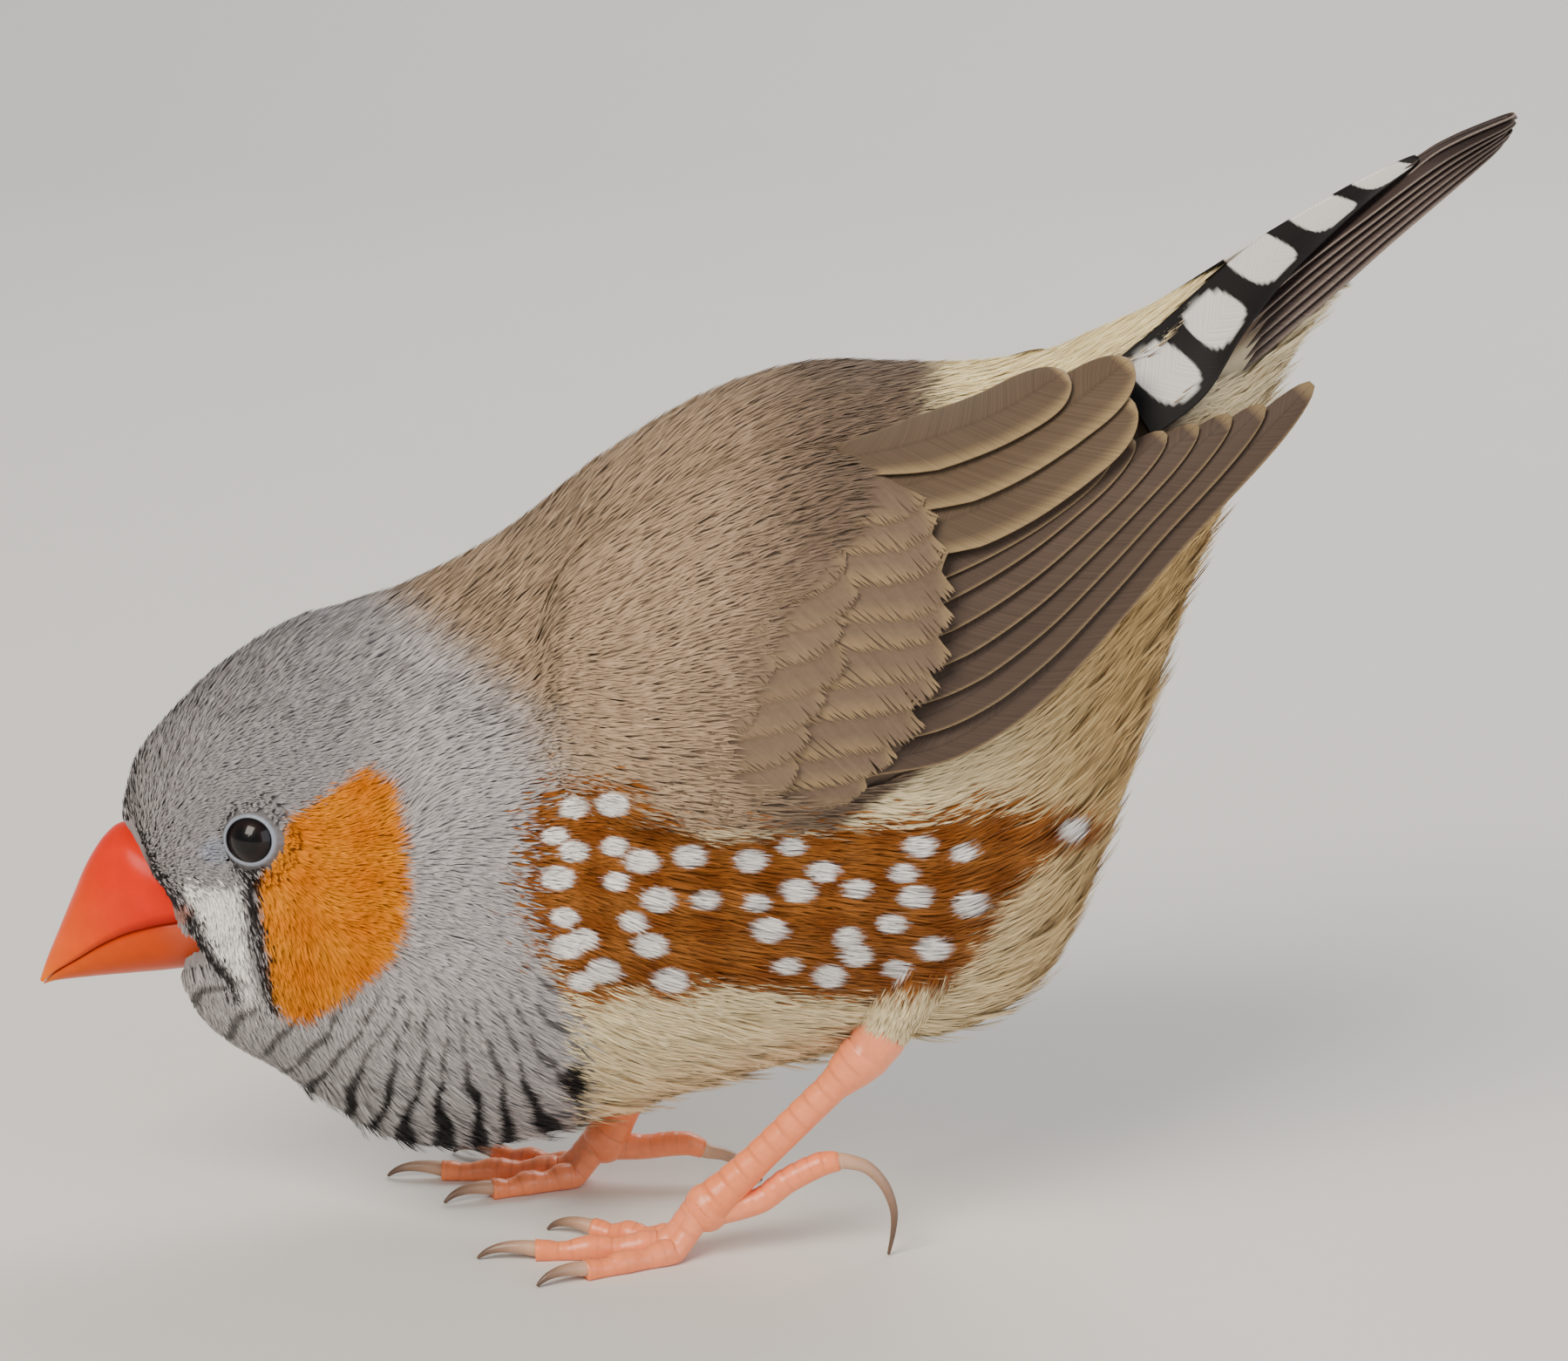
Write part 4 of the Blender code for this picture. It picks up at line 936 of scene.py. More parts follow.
def make_skin():
    """The skin under the coat, one closed surface from the face to the tail's root."""
    rows, columns = 150, 120
    grid_at, grid_degrees = np.meshgrid(
        np.linspace(0.0, BODY_END, rows), np.arange(columns) * 360.0 / columns, indexing="ij"
    )
    at, degrees = grid_at.ravel(), grid_degrees.ravel()
    points = lifted(BODY, at, degrees, -limit(SKIN_DEPTHS, at))[0]
    pocket = smooth((inside_by(*seen(points), BILL_SIDE) + 0.1) / 0.35)
    points[:, 1] *= 1 - 0.55 * pocket
    ring = np.arange(columns)
    after, end = (ring + 1) % columns, (rows - 1) * columns
    hubs = np.full(columns, rows * columns)
    caps = np.concatenate((
        np.stack((ring, after, hubs), -1), np.stack((end + after, end + ring, hubs + 1), -1)
    ))
    points = np.concatenate((points, (points[:columns].mean(0), points[end:].mean(0))))
    # the skin takes the markings drawn darker: painted shade in the gaps of the coat
    colour = markings(points, np.zeros(len(points))) * 0.82
    faces = [grid_quads(rows, columns, wrap=True), caps]
    made = mesh_object("skin", points, faces, colour)
    bake_map(made, np.stack(
        (np.append(degrees / 360.0, (0.5, 0.5)), np.append(at / BODY_END, (0.0, 1.0))), -1
    ))
    finish_piece(made, "plumage", ("head", "neck", "torso", "thigh_left", "thigh_right"))


# Where the tufts over the folded wing end and its coverts show: degrees, then the station
WING_TUFTS_END = ((36.0, 10.2), (50.0, 9.95), (58.0, 9.7), (63.0, 9.3), (70.0, 9.0), (80.0, 8.7),
                  (86.0, 8.75), (90.0, 9.2), (97.0, 9.6))


def hidden_by_wing(at, degrees):
    """Whether a root on the body lies under a wing's coverts or its long feathers."""
    turned = from_back(degrees)
    places = (8.0, 8.4, 8.85, 10.0, 10.9, 12.0, 13.0, 14.0, 15.0, 16.0)
    top = np.interp(at, places, (36.0, 36.0, 36.0, 36.0, 38.0, 33.0, 33.0, 33.0, 40.0, 60.0))
    foot = np.interp(at, places, (83.0, 89.0, 95.0, 94.0, 89.0, 84.0, 80.0, 76.0, 74.0, 74.0))
    return (turned > top) & (turned < foot) & (at > limit(WING_TUFTS_END, turned))


def under_barred_covert(at, degrees):
    """Whether a root at the tail's base lies under the barred feather beside it."""
    turned = from_back(degrees)
    top = np.interp(at, (14.4, 15.0, 15.8), (26.0, 8.0, 0.0))
    foot = np.interp(at, (14.4, 15.2, 16.0, 17.0, 18.0), (60.0, 92.0, 112.0, 128.0, 135.0))
    return (at > 14.4) & (turned > top) & (turned < foot)


def finely_marked(root):
    """Whether roots lie on the throat, the breast, the flank or the face's stripes."""
    across, up = seen(root)
    low = (up < limit(THROAT_TOP, across) + 2.5) & (across < -9.0)
    flank = inside_by(across, up, FLANK) > -3.0
    stripe = inside_by(across, up, STRIPE) > -2.0
    return low | flank | stripe


# Coat zones: name, first and last station, how far tufts stand apart along and round the body,
# barbs in a tuft and its width
COAT_ZONES = (
    ("face", 0.0, 2.6, 0.36, 0.34, 7, 0.5),
    ("head", 2.6, 5.0, 0.43, 0.43, 7, 0.65),
    ("neck", 5.0, 7.6, 0.62, 0.58, 8, 0.9),
    ("shoulders", 7.6, 10.4, 0.74, 0.7, 9, 1.15),
    ("trunk", 10.4, 13.4, 0.8, 0.72, 9, 1.2),
    ("vent", 13.4, 18.8, 0.76, 0.7, 9, 1.2),
)
# By station: how long tufts are, and how deep under the body's outline roots and skin lie
LENGTHS = ((0.0, 0.9), (1.0, 1.1), (2.5, 1.4), (4.0, 1.8), (5.5, 2.2), (7.0, 2.7), (9.0, 3.3),
           (12.0, 4.0), (16.0, 4.0), (17.2, 3.2), (18.8, 2.2))
DEPTHS = ((0.0, 0.25), (1.0, 0.35), (4.0, 0.45), (7.0, 0.6), (16.0, 0.7))
SKIN_DEPTHS = ((0.0, 0.25), (1.0, 0.4), (4.0, 0.5), (7.0, 0.75), (16.0, 0.8))


def zone_roots(zone, seed):
    """Roots of a zone's tufts where nothing hides them, how long the tufts are and how far the
    eye's rim is."""
    _, first, last, along_gap, round_gap, _, _ = zone
    at, degrees = root_places(first, last, along_gap, round_gap, seed)
    root = lifted(BODY, at, degrees, 0.0)[0]
    eye, look = eye_place()
    mirror = np.where(root[:, 1:2] > 0, (1.0, -1.0, 1.0), (1.0, 1.0, 1.0))
    to_eye = (eye + look * EYE_SUNK) * mirror - root
    near = np.linalg.norm(to_eye, axis=1)
    keep = ~hidden_by_wing(at, degrees) & ~bill_holds(root) & (near > EYE_BARE)
    keep &= ~under_barred_covert(at, degrees) & (inside_by(*seen(root), BILL_SIDE) < -0.05)
    at, degrees, root, to_eye, near = (part[keep] for part in (at, degrees, root, to_eye, near))
    length = limit(LENGTHS, at)
    heading = np.sum(to_eye * lie_at(root), axis=1) / near
    blocked = (near < 3.6) & (heading > 0.4)
    length = np.where(blocked, np.minimum(length, np.maximum(near - 1.7, 0.35)), length)
    return at, degrees, root, np.where(near < 2.8, np.minimum(length, 0.8), length)


def make_coat():
    """The coat in zones: tufts under the body stand off, and the crown has darker specks."""
    for place, zone in enumerate(COAT_ZONES):
        name, barbs, width = zone[0], *zone[5:]
        at, degrees, root, length = zone_roots(zone, 10 + place)
        size = np.full(len(at), width) * np.minimum(length / 1.5, 1.0) ** 0.5
        rng = np.random.default_rng(200 + place)
        across, up = seen(root)
        turned = from_back(degrees)
        low = (up < -12.0) & (across > -14.0) | (across > 13.0) & (turned > 95.0)
        breast = (up < -25.0) & (across < -12.0)
        loose = (rng.random(len(at)) < chosen("finch_coat", "loose")) & (low | breast)
        lift = 0.05 + np.where(loose, rng.uniform(0.2, 0.8, len(at)), 0.0)
        length = length * np.where(loose, rng.uniform(1.0, 1.35, len(at)), 1.0)
        near_coverts = smooth((at - limit(WING_TUFTS_END, turned) + 1.4) / 1.0)
        lift = lift + 0.42 * near_coverts * ((turned > 38.0) & (turned < 97.0) & (at > 7.4))
        crown = (up > -3.0) & (across < -14.0)
        dark = crown & (rng.random(len(at)) < chosen("finch_coat", "specks"))
        speck = np.where(dark, rng.uniform(0.12, 0.42, len(at)), 0.0)
        tufts = np.stack((at, degrees, length, size, limit(DEPTHS, at), lift, speck))
        marked = finely_marked(root)
        for number, (group, levels) in enumerate(((~marked, 3), (marked, 6))):
            if group.any():
                seed = 2 * place + number
                part = strips(tufts[:, group], barbs, 0.35, 50 + seed, levels)
                split_coat(name + number * "_marked", part, levels, 90 + seed)


def make_thigh(leg, side):
    """A feathered thigh that reaches down from the belly over the top of the shank."""
    hip, ankle = np.array(leg["hip"]), np.array(leg["ankle"])
    way = unit((ankle - hip)[[0, 2]])
    square = np.array((way[1], -way[0]))
    table = []
    for share, radius in zip((0.0, 0.3, 0.6, 0.82, 0.95), (3.4, 3.0, 2.5, 1.9, 1.7)):
        middle = hip[[0, 2]] + (ankle - hip)[[0, 2]] * share
        table.append((*middle - square * radius, *middle + square * radius, radius, 0.5))
    rng = np.random.default_rng(31)
    count = 420
    places = rng.uniform(0.0, 3.0, count), rng.uniform(0.0, 360.0, count)
    tufts = np.stack((*places, *(np.full(count, size) for size in (2.0, 0.9, 0.5, 0.1, 0.0))))
    lie = np.broadcast_to(np.array((way[0], 0.0, way[1])), (count, 3))
    part = strips(tufts, 8, 0.5, 32, lie=lie, table=table)
    part[0][:, 1] += np.interp(part[0][:, 2], (ankle[2], hip[2]), (ankle[1], hip[1]))
    coat_piece(f"coat_thigh_{side}", part, 33)


def split_coat(name, part, levels, seed):
    """Makes one group of tufts, in several objects when it has more triangles than one may."""
    points, normals, faces, bake, barb, share, tone = part
    pieces = int(math.ceil(len(faces) / MOST_TRIANGLES))
    strip, per_strip = 2 * levels + 1, 2 * levels - 1
    bounds = np.linspace(0, len(points) // strip, pieces + 1).astype(int)
    for number, (start, end) in enumerate(zip(bounds, bounds[1:])):
        cut = slice(start * strip, end * strip)
        tris = faces[start * per_strip : end * per_strip] - start * strip
        piece = (points[cut], normals[cut], tris, bake[cut], barb[cut] - start, share[cut],
                 tone[cut])
        coat_piece(f"coat_{name}_{number + 1}", piece, seed)


# ---------------------------------------------------------------------- wings
# Points along a vane, and where they stand across it, closer to its shaft and its edges
VANE_ROWS = 65
VANE_COLUMNS = (-1.0, -0.94, -0.85, -0.72, -0.5, -0.28, -0.1, 0.0, 0.1, 0.28, 0.45, 0.6, 0.72, 0.82,
                0.91, 0.96, 1.0)
# Flight feathers' barbs stand about 0.05 mm apart, too fine to show, so they are drawn 0.14 apart
BARB_GAP = 0.14
# How far a barb runs back along the shaft for each mm out, and how thick a vane is drawn
BARB_SLANT, VANE_THICKNESS = 0.9, 0.12


def vane_grid(rows):
    """How far along a vane and how far across it the points of its grid lie."""
    share = np.repeat(np.linspace(0.0, 1.0, rows), len(VANE_COLUMNS))
    return share, np.tile(VANE_COLUMNS, rows)


def rounded(share, start):
    """How wide a feather still is where its tip closes, as a share of its width."""
    past = np.clip((share - start) / (1 - start), 0.0, 1.0)
    return np.sqrt(1.0 - 0.97 * past**2.6)


def square_steps(table, at, degrees, run, turn):
    """Steps of 1 mm square to a feather's way on a loft, in stations and degrees, and how long
    the way is."""
    along, around = directions(table, at, degrees)
    pairs = ((along, along), (along, around), (around, around))
    stretch, skew, girth = (np.sum(one * other, axis=1) for one, other in pairs)
    move = np.stack((-(run * skew + turn * girth), run * stretch + turn * skew), -1)
    move /= np.linalg.norm(move[:, :1] * along + move[:, 1:] * around, axis=1)[:, None]
    return move, np.linalg.norm(run[:, None] * along + turn[:, None] * around, axis=1)


def shell_vane(root, tip, width, slope, lifts, bow):
    """Points of a vane on the wing shell, upper face, with its share along and place across."""
    share, across = vane_grid(VANE_ROWS)
    at = root[0] + (tip[0] - root[0]) * share - SHELL_FIRST
    angle = root[1] + (tip[1] - root[1]) * share + bow * np.sin(math.pi * share)
    run = np.full(len(share), tip[0] - root[0])
    turn = tip[1] - root[1] + bow * math.pi * np.cos(math.pi * share)
    move = square_steps(SHELL, at, angle, run, turn)[0]
    swell = 0.55 + 0.45 * np.minimum(share / 0.3, 1.0)
    reach = across * (width / 2 * swell * rounded(share, 0.72))
    base = lifts[0] + (lifts[1] - lifts[0]) * np.sqrt(share)
    stand = base + slope * (width / 2 + reach) + 0.10 * (1 - across**2)
    points, normals = lifted(SHELL, at + move[:, 0] * reach, angle + move[:, 1] * reach, stand)
    return points, normals, share, across


def vane_mesh(parts, name, replaced):
    """One object of several thin vanes, each with an upper and a lower face."""
    columns, start = len(VANE_COLUMNS), 0
    all_points, all_quads, all_colour, all_web = [], [], [], []
    for points, normals, colour, web in parts:
        rows, count = len(points) // columns, len(points)
        top = grid_quads(rows, columns)
        middle = points[top]
        faces = np.cross(middle[:, 2] - middle[:, 0], middle[:, 3] - middle[:, 1])
        inward = np.sum(faces * normals[top[:, 0]]) < 0
        grid = np.arange(count).reshape(rows, columns)
        rim = np.concatenate((grid[0], grid[1:, -1], grid[-1, -2::-1], grid[-2:0:-1, 0]))
        after = np.roll(rim, -1)
        edge = np.stack((after, rim, rim + count, after + count), -1)
        quads = np.concatenate((top, top[:, ::-1] + count, edge))
        all_points += [points, points - normals * VANE_THICKNESS]
        all_quads.append((quads[:, ::-1] if inward else quads) + start)
        # the lower face is drawn darker: painted shade on the underside of each vane
        all_colour += [colour, colour * 0.7]
        all_web += [web, web]
        start += 2 * count
    points, quads, colour, web = map(
        np.concatenate, (all_points, all_quads, all_colour, all_web)
    )
    finish_piece(mesh_object(name, points, [quads], colour, web=web), "vane", replaced)


def vane_colours(share, across, base, edge, length, width, seed, edge_from=0.86, shaft=0.3,
                 soft=0.12):
    """Colour of a vane: base, a paler edge towards the floor side and tip, and a dark shaft."""
    rng = np.random.default_rng(seed)
    colour = base * (1 + rng.normal(0.0, 0.05))
    rim = np.maximum(
        smooth((across - edge_from) / soft), smooth((share - 0.975 + soft / 30) / 0.03)
    )
    rim = np.maximum(rim, smooth((-across - 0.93) / 0.06) * 0.3)
    colour = blend(colour, edge, rim * 0.8)
    colour = blend(colour, base * 0.4, (1 - smooth(np.abs(across) / 0.12)) * shaft)
    web = np.stack((share * length, across * width / 2, np.full(len(share), seed * 1.37)), -1)
    return colour, web


# Inner feathers of the wing: root and tip, each as station and degrees, and width
TERTIALS = (
    ((10.2, 40.5), (13.15, 31.0), 4.3),
    ((10.2, 47.5), (14.25, 37.5), 4.4),
    ((10.3, 55.0), (14.1, 48.0), 4.3),
)
# Long feathers: their tips, and the station and the first and last degrees of their roots
FLIGHT_TIPS = ((13.1, 53.5), (13.6, 55.5), (14.0, 57.0), (14.5, 61.1), (15.0, 65.6),
               (15.5, 70.4), (16.0, 75.8), (16.7, 83.0))
FLIGHT_ROOTS = (9.6, 60.0, 90.5)
# Rows of small wing feathers from the back: places of their tips (degrees and station), how many
# there are, how many stations long and how many mm wide they are, and their heights over the arm
# at the root and at the tip
GREATER_TIPS = ((46.0, 10.95), (53.0, 11.1), (64.0, 11.15), (74.0, 10.9), (82.5, 10.6),
                (91.0, 10.2), (95.5, 9.8))
MEDIAN_TIPS = ((56.0, 10.15), (65.5, 10.15), (74.5, 9.9), (81.0, 9.65), (87.0, 9.35),
               (94.0, 9.0))
LESSER_TIPS = ((60.0, 9.5), (66.0, 9.45), (74.0, 9.2), (81.0, 8.95), (88.0, 8.7), (92.0, 8.6))
COVERT_ROWS = (
    (GREATER_TIPS, 11, 2.2, 5.4, (-0.5, -0.12)),
    (MEDIAN_TIPS, 9, 1.5, 5.4, (-0.45, 0.02)),
    (LESSER_TIPS, 8, 1.2, 5.0, (-0.55, -0.02)),
)
# The wing's front edge: degrees, then the station
WING_FRONT = ((60.0, 7.2), (64.0, 7.22), (74.0, 7.58), (83.0, 7.92), (90.0, 8.6), (97.0, 9.2))


def pinnate(roots, tips, width, lifts, slope, seed, barbs=80, levels=4):
    """Soft feathers whose barbs slant from a shaft, laid on the wing's arm from roots to tips.

    Returns the points, the surface's normals, triangles, how far each point lies along and
    across its feather, which feather and which barb it is of, and its place in the bake map.
    """
    rng = np.random.default_rng(seed)
    count = len(roots)
    run, turn = (tips - roots).T
    move, length = square_steps(BODY, *(roots + tips).T / 2, run, turn)
    side = np.tile((-1.0, 1.0), barbs)
    start = np.repeat(np.linspace(0.0, 0.93, barbs), 2)
    first = np.minimum(width / 2 / 0.75 / length[:, None], 0.6)
    end = first + (1 - first) * start / 0.93 + rng.uniform(-0.012, 0.012, (count, 2 * barbs))
    past = np.clip((end - 0.6) / 0.42, 0.0, 1.0)
    half = width / 2 * np.sqrt(1 - 0.96 * past**2.6) * np.minimum(0.5 + 2.5 * start, 1.0)
    half = half * rng.uniform(0.95, 1.03, (count, 2 * barbs))
    share, edge, tris = strip_form(levels)
    thin = 0.17 * (1 - 0.35 * share) * edge
    ahead = start[None, :, None] + (end - start)[:, :, None] * share + thin / length[:, None, None]
    out = side[None, :, None] * half[:, :, None] * share**0.85
    high = rng.uniform(-0.015, 0.015, (count, 2 * barbs, 1)) * share
    base = lifts[0] + (lifts[1] - lifts[0]) * ahead + slope * (width / 2 + out) + high
    at = roots[:, 0, None, None] + run[:, None, None] * ahead + move[:, 0, None, None] * out
    degrees = roots[:, 1, None, None] + turn[:, None, None] * ahead
    degrees = degrees + move[:, 1, None, None] * out
    base = base + arm_lift(at, degrees)
    points, normals = lifted(BODY, at.ravel(), degrees.ravel(), base.ravel())
    strip = len(share)
    faces = (np.arange(count * 2 * barbs)[:, None, None] * strip + tris).reshape(-1, 3)
    one, two, three = np.moveaxis(points[faces], 1, 0)
    turned = np.sum(np.cross(two - one, three - one) * normals[faces[:, 0]], axis=1) < 0
    faces[turned] = faces[turned][:, ::-1]
    owner = np.repeat(np.arange(count), 2 * barbs * strip)
    barb = np.repeat(np.arange(count * 2 * barbs), strip)
    place = np.stack((roots[:, 1] / 360.0, roots[:, 0] / BODY_END), -1)[owner]
    local = np.stack(((out / width + 0.5).ravel(), np.clip(ahead, 0, 1).ravel()), -1) * PATCH
    across = (out / (width / 2)).ravel()
    return points, normals, faces, ahead.ravel(), across, owner, barb, place + local


def make_coverts(name, side):
    """The rows of small feathers on a folded wing."""
    rng = np.random.default_rng(7)
    groups = []
    for place, (tip_line, count, long, width, lifts) in enumerate(COVERT_ROWS):
        turns = np.linspace(tip_line[0][0], tip_line[-1][0], count)
        tips = np.stack((limit(tip_line, turns), turns), -1)
        tips += rng.normal(0.0, 1.0, tips.shape) * (0.05, 0.5)
        start = np.maximum(tips[:, 0] - long, limit(WING_FRONT, turns + 3.0) + 0.15)
        roots = np.stack((start, turns - np.linspace(0.0, 5.0, count)), -1)
        groups.append(pinnate(roots, tips, width, lifts, 0.07, 30 + place))
    colours, faces, start = [], [], 0
    for (_, _, tris, ahead, across, owner, barb, _), shade, edge in zip(
        groups, (0.92, 1.0, 1.12), (0.6, 0.3, 0.2)
    ):
        feather = (1 + rng.normal(0.0, 0.04, owner.max() + 1))[owner]
        light = (1 + rng.normal(0.0, 0.035, barb.max() + 1))[barb]
        rim = np.maximum(smooth((across - 0.55) / 0.4), smooth((ahead - 0.9) / 0.09))
        colour = blend(hue("wing_brown") * shade, hue("feather_edge"), rim * edge)
        inner = 1 - 0.12 * (1 - smooth(np.abs(across) / 0.5))
        colours.append(colour * (feather * light * inner)[:, None])
        faces.append(tris + start)
        start += len(owner)
    points, normals, bakes = (
        np.concatenate([group[part] for group in groups]) for part in (0, 1, 7)
    )
    faces = np.concatenate(faces)
    flip = np.array((1.0, side, 1.0))
    wander = rng.normal(0.0, 0.04, points.shape)
    made = mesh_object(
        f"wing_coverts_{name}", points * flip, [faces if side > 0 else faces[:, ::-1]],
        np.concatenate(colours), unit(normals * flip + wander),
    )
    bake_map(made, bakes)
    finish_piece(made, "plumage")


def wing_vanes(side):
    """The long and the inner feathers of a wing. The right wing's inner ones lie a little lower,
    under the left wing's."""
    flights, parts = len(FLIGHT_TIPS), []
    root_at, first, last = FLIGHT_ROOTS
    wide, steep, slope = (
        chosen("finch_wings", part) for part in ("flight_width", "flight_slope", "tertial_slope")
    )
    for place in range(flights - 1, -1, -1):
        root = root_at, first + (last - first) * place / (flights - 1)
        points, normals, share, across = shell_vane(
            root, FLIGHT_TIPS[place], wide, steep, (0.0, 0.1), -2.0
        )
        colour, web = vane_colours(
            share, across, hue("flight_brown"), hue("feather_edge") * 0.85, 30.0, 2.3,
            place + 3, 0.84, 0.45, 0.2,
        )
        parts.append((points, normals, colour, web))
    for place, (root, tip, width) in enumerate(TERTIALS):
        if side < 0:
            root, tip = (root[0], root[1] + 4.0), (tip[0], tip[1] + 7.0)
        points, normals, share, across = shell_vane(root, tip, width, slope, (0.3, 0.8), 0.0)
        colour, web = vane_colours(
            share, across, hue("wing_brown") * (0.56, 0.54, 0.47), hue("feather_edge") * 0.95,
            20.0, width, place + 20, 0.55, 0.3, 0.55,
        )
        parts.append((points, normals, colour, web))
    return parts if side > 0 else mirrored_parts(parts)


def mirrored_parts(parts):
    """The same vanes on the right side."""
    flip = np.array((1.0, -1.0, 1.0))
    return [(points * flip, normals * flip, colour, web) for points, normals, colour, web in parts]


def make_arm(name, side):
    """The folded arm under its small feathers."""
    at = np.linspace(7.25, 10.45, 40)
    _, top, foot = arm_edges(at)
    degrees = (top[:, None] + (foot - top)[:, None] * np.linspace(-0.04, 1.04, 40)).ravel()
    at = np.repeat(at, 40)
    points = lifted(BODY, at, degrees, arm_lift(at, degrees) - 0.55)[0] * (1.0, side, 1.0)
    quads = grid_quads(40, 40)
    # the arm is drawn dark brown: painted shade under the small feathers that cover it
    colour = np.broadcast_to(hue("wing_brown") * 0.6, points.shape)
    made = mesh_object(
        f"wing_arm_{name}", points, [quads if side > 0 else quads[:, ::-1]], colour
    )
    finish_piece(made, "plumage")


def make_wings():
    """Both wings: the arm, the small feathers over it and the long ones behind it."""
    for side, name in ((1, "left"), (-1, "right")):
        make_arm(name, side)
        make_coverts(name, side)
        vane_mesh(wing_vanes(side), f"wing_feathers_{name}", (f"wing_{name}",))


# ---------------------------------------------------------------------- tail
# Where the tail's middle feathers start and end, as x and z
TAIL_ROOT = (24.4, 57.6)
TAIL_TIP = (44.9, 71.1)
# Shares of a step along the tail that go back and up
TAIL_WAY = (0.835, 0.55)


def tail_place(along, side, high):
    """A point by distance along the tail, out to the left and up from its middle feathers."""
    axis = np.array((TAIL_TIP[0] - TAIL_ROOT[0], 0.0, TAIL_TIP[1] - TAIL_ROOT[1]))
    axis = axis / np.linalg.norm(axis)
    up = np.array((-axis[2], 0.0, axis[0]))
    root = np.array((TAIL_ROOT[0], 0.0, TAIL_ROOT[1]))
    points = root + axis * np.asarray(along)[..., None] + up * np.asarray(high)[..., None]
    points[..., 1] = -np.asarray(side)
    return points


def ribbon_vane(table, camber, round_from, count=VANE_ROWS):
    """A vane between two edges. Rows hold the distance along the tail, then how far out to the
    side and how high the upper edge and the lower edge lie."""
    share, across = vane_grid(count)
    along, *edges = through(table, share * (len(table) - 1)).T
    upper, lower = np.array(edges[:2]), np.array(edges[2:])
    mix = (across * rounded(share, round_from) + 1) / 2
    flat = tail_place(along, *(upper + (lower - upper) * mix))
    slant = tail_place(along, *lower) - tail_place(along, *upper)
    axis = tail_place(1.0, 0.0, 0.0) - tail_place(0.0, 0.0, 0.0)
    normal = unit(np.cross(axis, slant))
    return flat + normal * (camber * (1 - across**2))[:, None], normal, share, across, along


# Tail feathers of the left side: the line where they all meet over the middle, then the lower
# edge of the top one and of the lowest one, as distance along the tail, out to the side and up
TAIL_SPINE = ((1.5, 0.7, 0.9), (8.0, 0.7, 1.5), (14.0, 0.6, 1.45), (20.0, 0.5, 1.6),
              (24.9, 0.3, 0.75))
TAIL_TOP_EDGE = ((1.5, 3.3, -0.8), (8.0, 3.0, 0.2), (14.0, 2.5, 0.65), (20.0, 1.9, 0.9),
                 (24.9, 1.3, 0.35))
TAIL_LOW_EDGE = ((-0.5, 3.7, -3.5), (8.5, 3.5, -2.4), (14.5, 3.1, -1.5), (19.5, 2.5, -0.9),
                 (24.0, 1.8, -0.35))
TAIL_MIDDLE = ((14.5, -1.0, 0.6, 1.0, 0.6), (18.8, -1.2, 1.45, 1.2, 1.45),
               (21.5, -1.15, 1.38, 1.15, 1.38), (25.2, -0.9, 0.7, 0.9, 0.7))


def make_tail():
    """The tail feathers, the lowest pair first, and one feather over the middle."""
    parts = []
    spine, top, low = (np.asarray(line) for line in (TAIL_SPINE, TAIL_TOP_EDGE, TAIL_LOW_EDGE))
    pairs = chosen("finch_tail", "pairs")
    for pair in range(pairs - 1, -1, -1):
        mix = pair / (pairs - 1)
        edge = top * (1 - mix) + low * mix
        tuck = 0.12 * pair
        table = np.stack((
            edge[:, 0] + 0.25 * math.sin(pair * 2.3), spine[:, 1], spine[:, 2] - tuck,
            edge[:, 1] - tuck, edge[:, 2],
        ), -1)
        points, normals, share, across, along = ribbon_vane(table, 0.1, 0.88)
        dark = 1.0 - 0.5 * smooth((along - 17.0) / 6.0)
        colour, web = vane_colours(
            share, across, hue("tail_dark") * (1.9, 2.1, 2.2), hue("tail_edge"), 24.0, 2.5,
            pair + 60,
        )
        parts.append((points, normals, colour * dark[:, None], web))
    points, normals, share, across, along = ribbon_vane(TAIL_MIDDLE, 0.3, 0.88)
    middle = vane_colours(
        share, across, hue("tail_dark"), hue("tail_edge"), 14.0, 2.5, 59, shaft=0.5
    )
    both = parts + mirrored_parts(parts) + [(points, normals, *middle)]
    vane_mesh(both, "tail_feathers", ("tail",))


# The barred feather over each side of the tail, and the middles of its white bars
BARRED_COVERT = (
    (-4.0, 4.4, 2.0, 7.4, -2.6),
    (0.0, 3.5, 2.3, 6.4, -2.4),
    (4.0, 1.6, 2.6, 5.2, -0.7),
    (8.0, 0.1, 2.8, 3.9, 0.5),
    (12.0, -0.1, 2.65, 2.8, 1.15),
    (15.5, -0.1, 2.4, 1.9, 1.5),
    (18.8, 0.0, 1.95, 1.1, 1.5),
)
WHITE_BARS = (-1.5, 2.9, 7.5, 12.2, 16.6)


def make_tail_coverts():
    """The barred feathers over the tail, black with five white bars."""
    points, normals, _, across, along = ribbon_vane(BARRED_COVERT, 0.25, 0.86, 241)
    slanted = along - 0.75 * (across + 0.3)
    gaps = np.min(np.abs(slanted[:, None] - np.array(WHITE_BARS)), axis=1)
    far = smooth((slanted - 4.6) / 1.0)
    reach = np.abs(across + 0.05 + 0.4 * far) / (0.8 + 0.35 * far)
    round_by = (gaps / chosen("finch_tail", "bar")) ** 3.0 + reach**3.0
    colour = blend(hue("black"), hue("white"), smooth((1.0 - round_by) / 0.2 + 0.3))
    web = np.stack((along, across * 2.5, np.full(len(along), 7.7)), -1)
    parts = [(points, normals, colour, web)]
    vane_mesh(parts + mirrored_parts(parts), "tail_coverts", ("rump",))


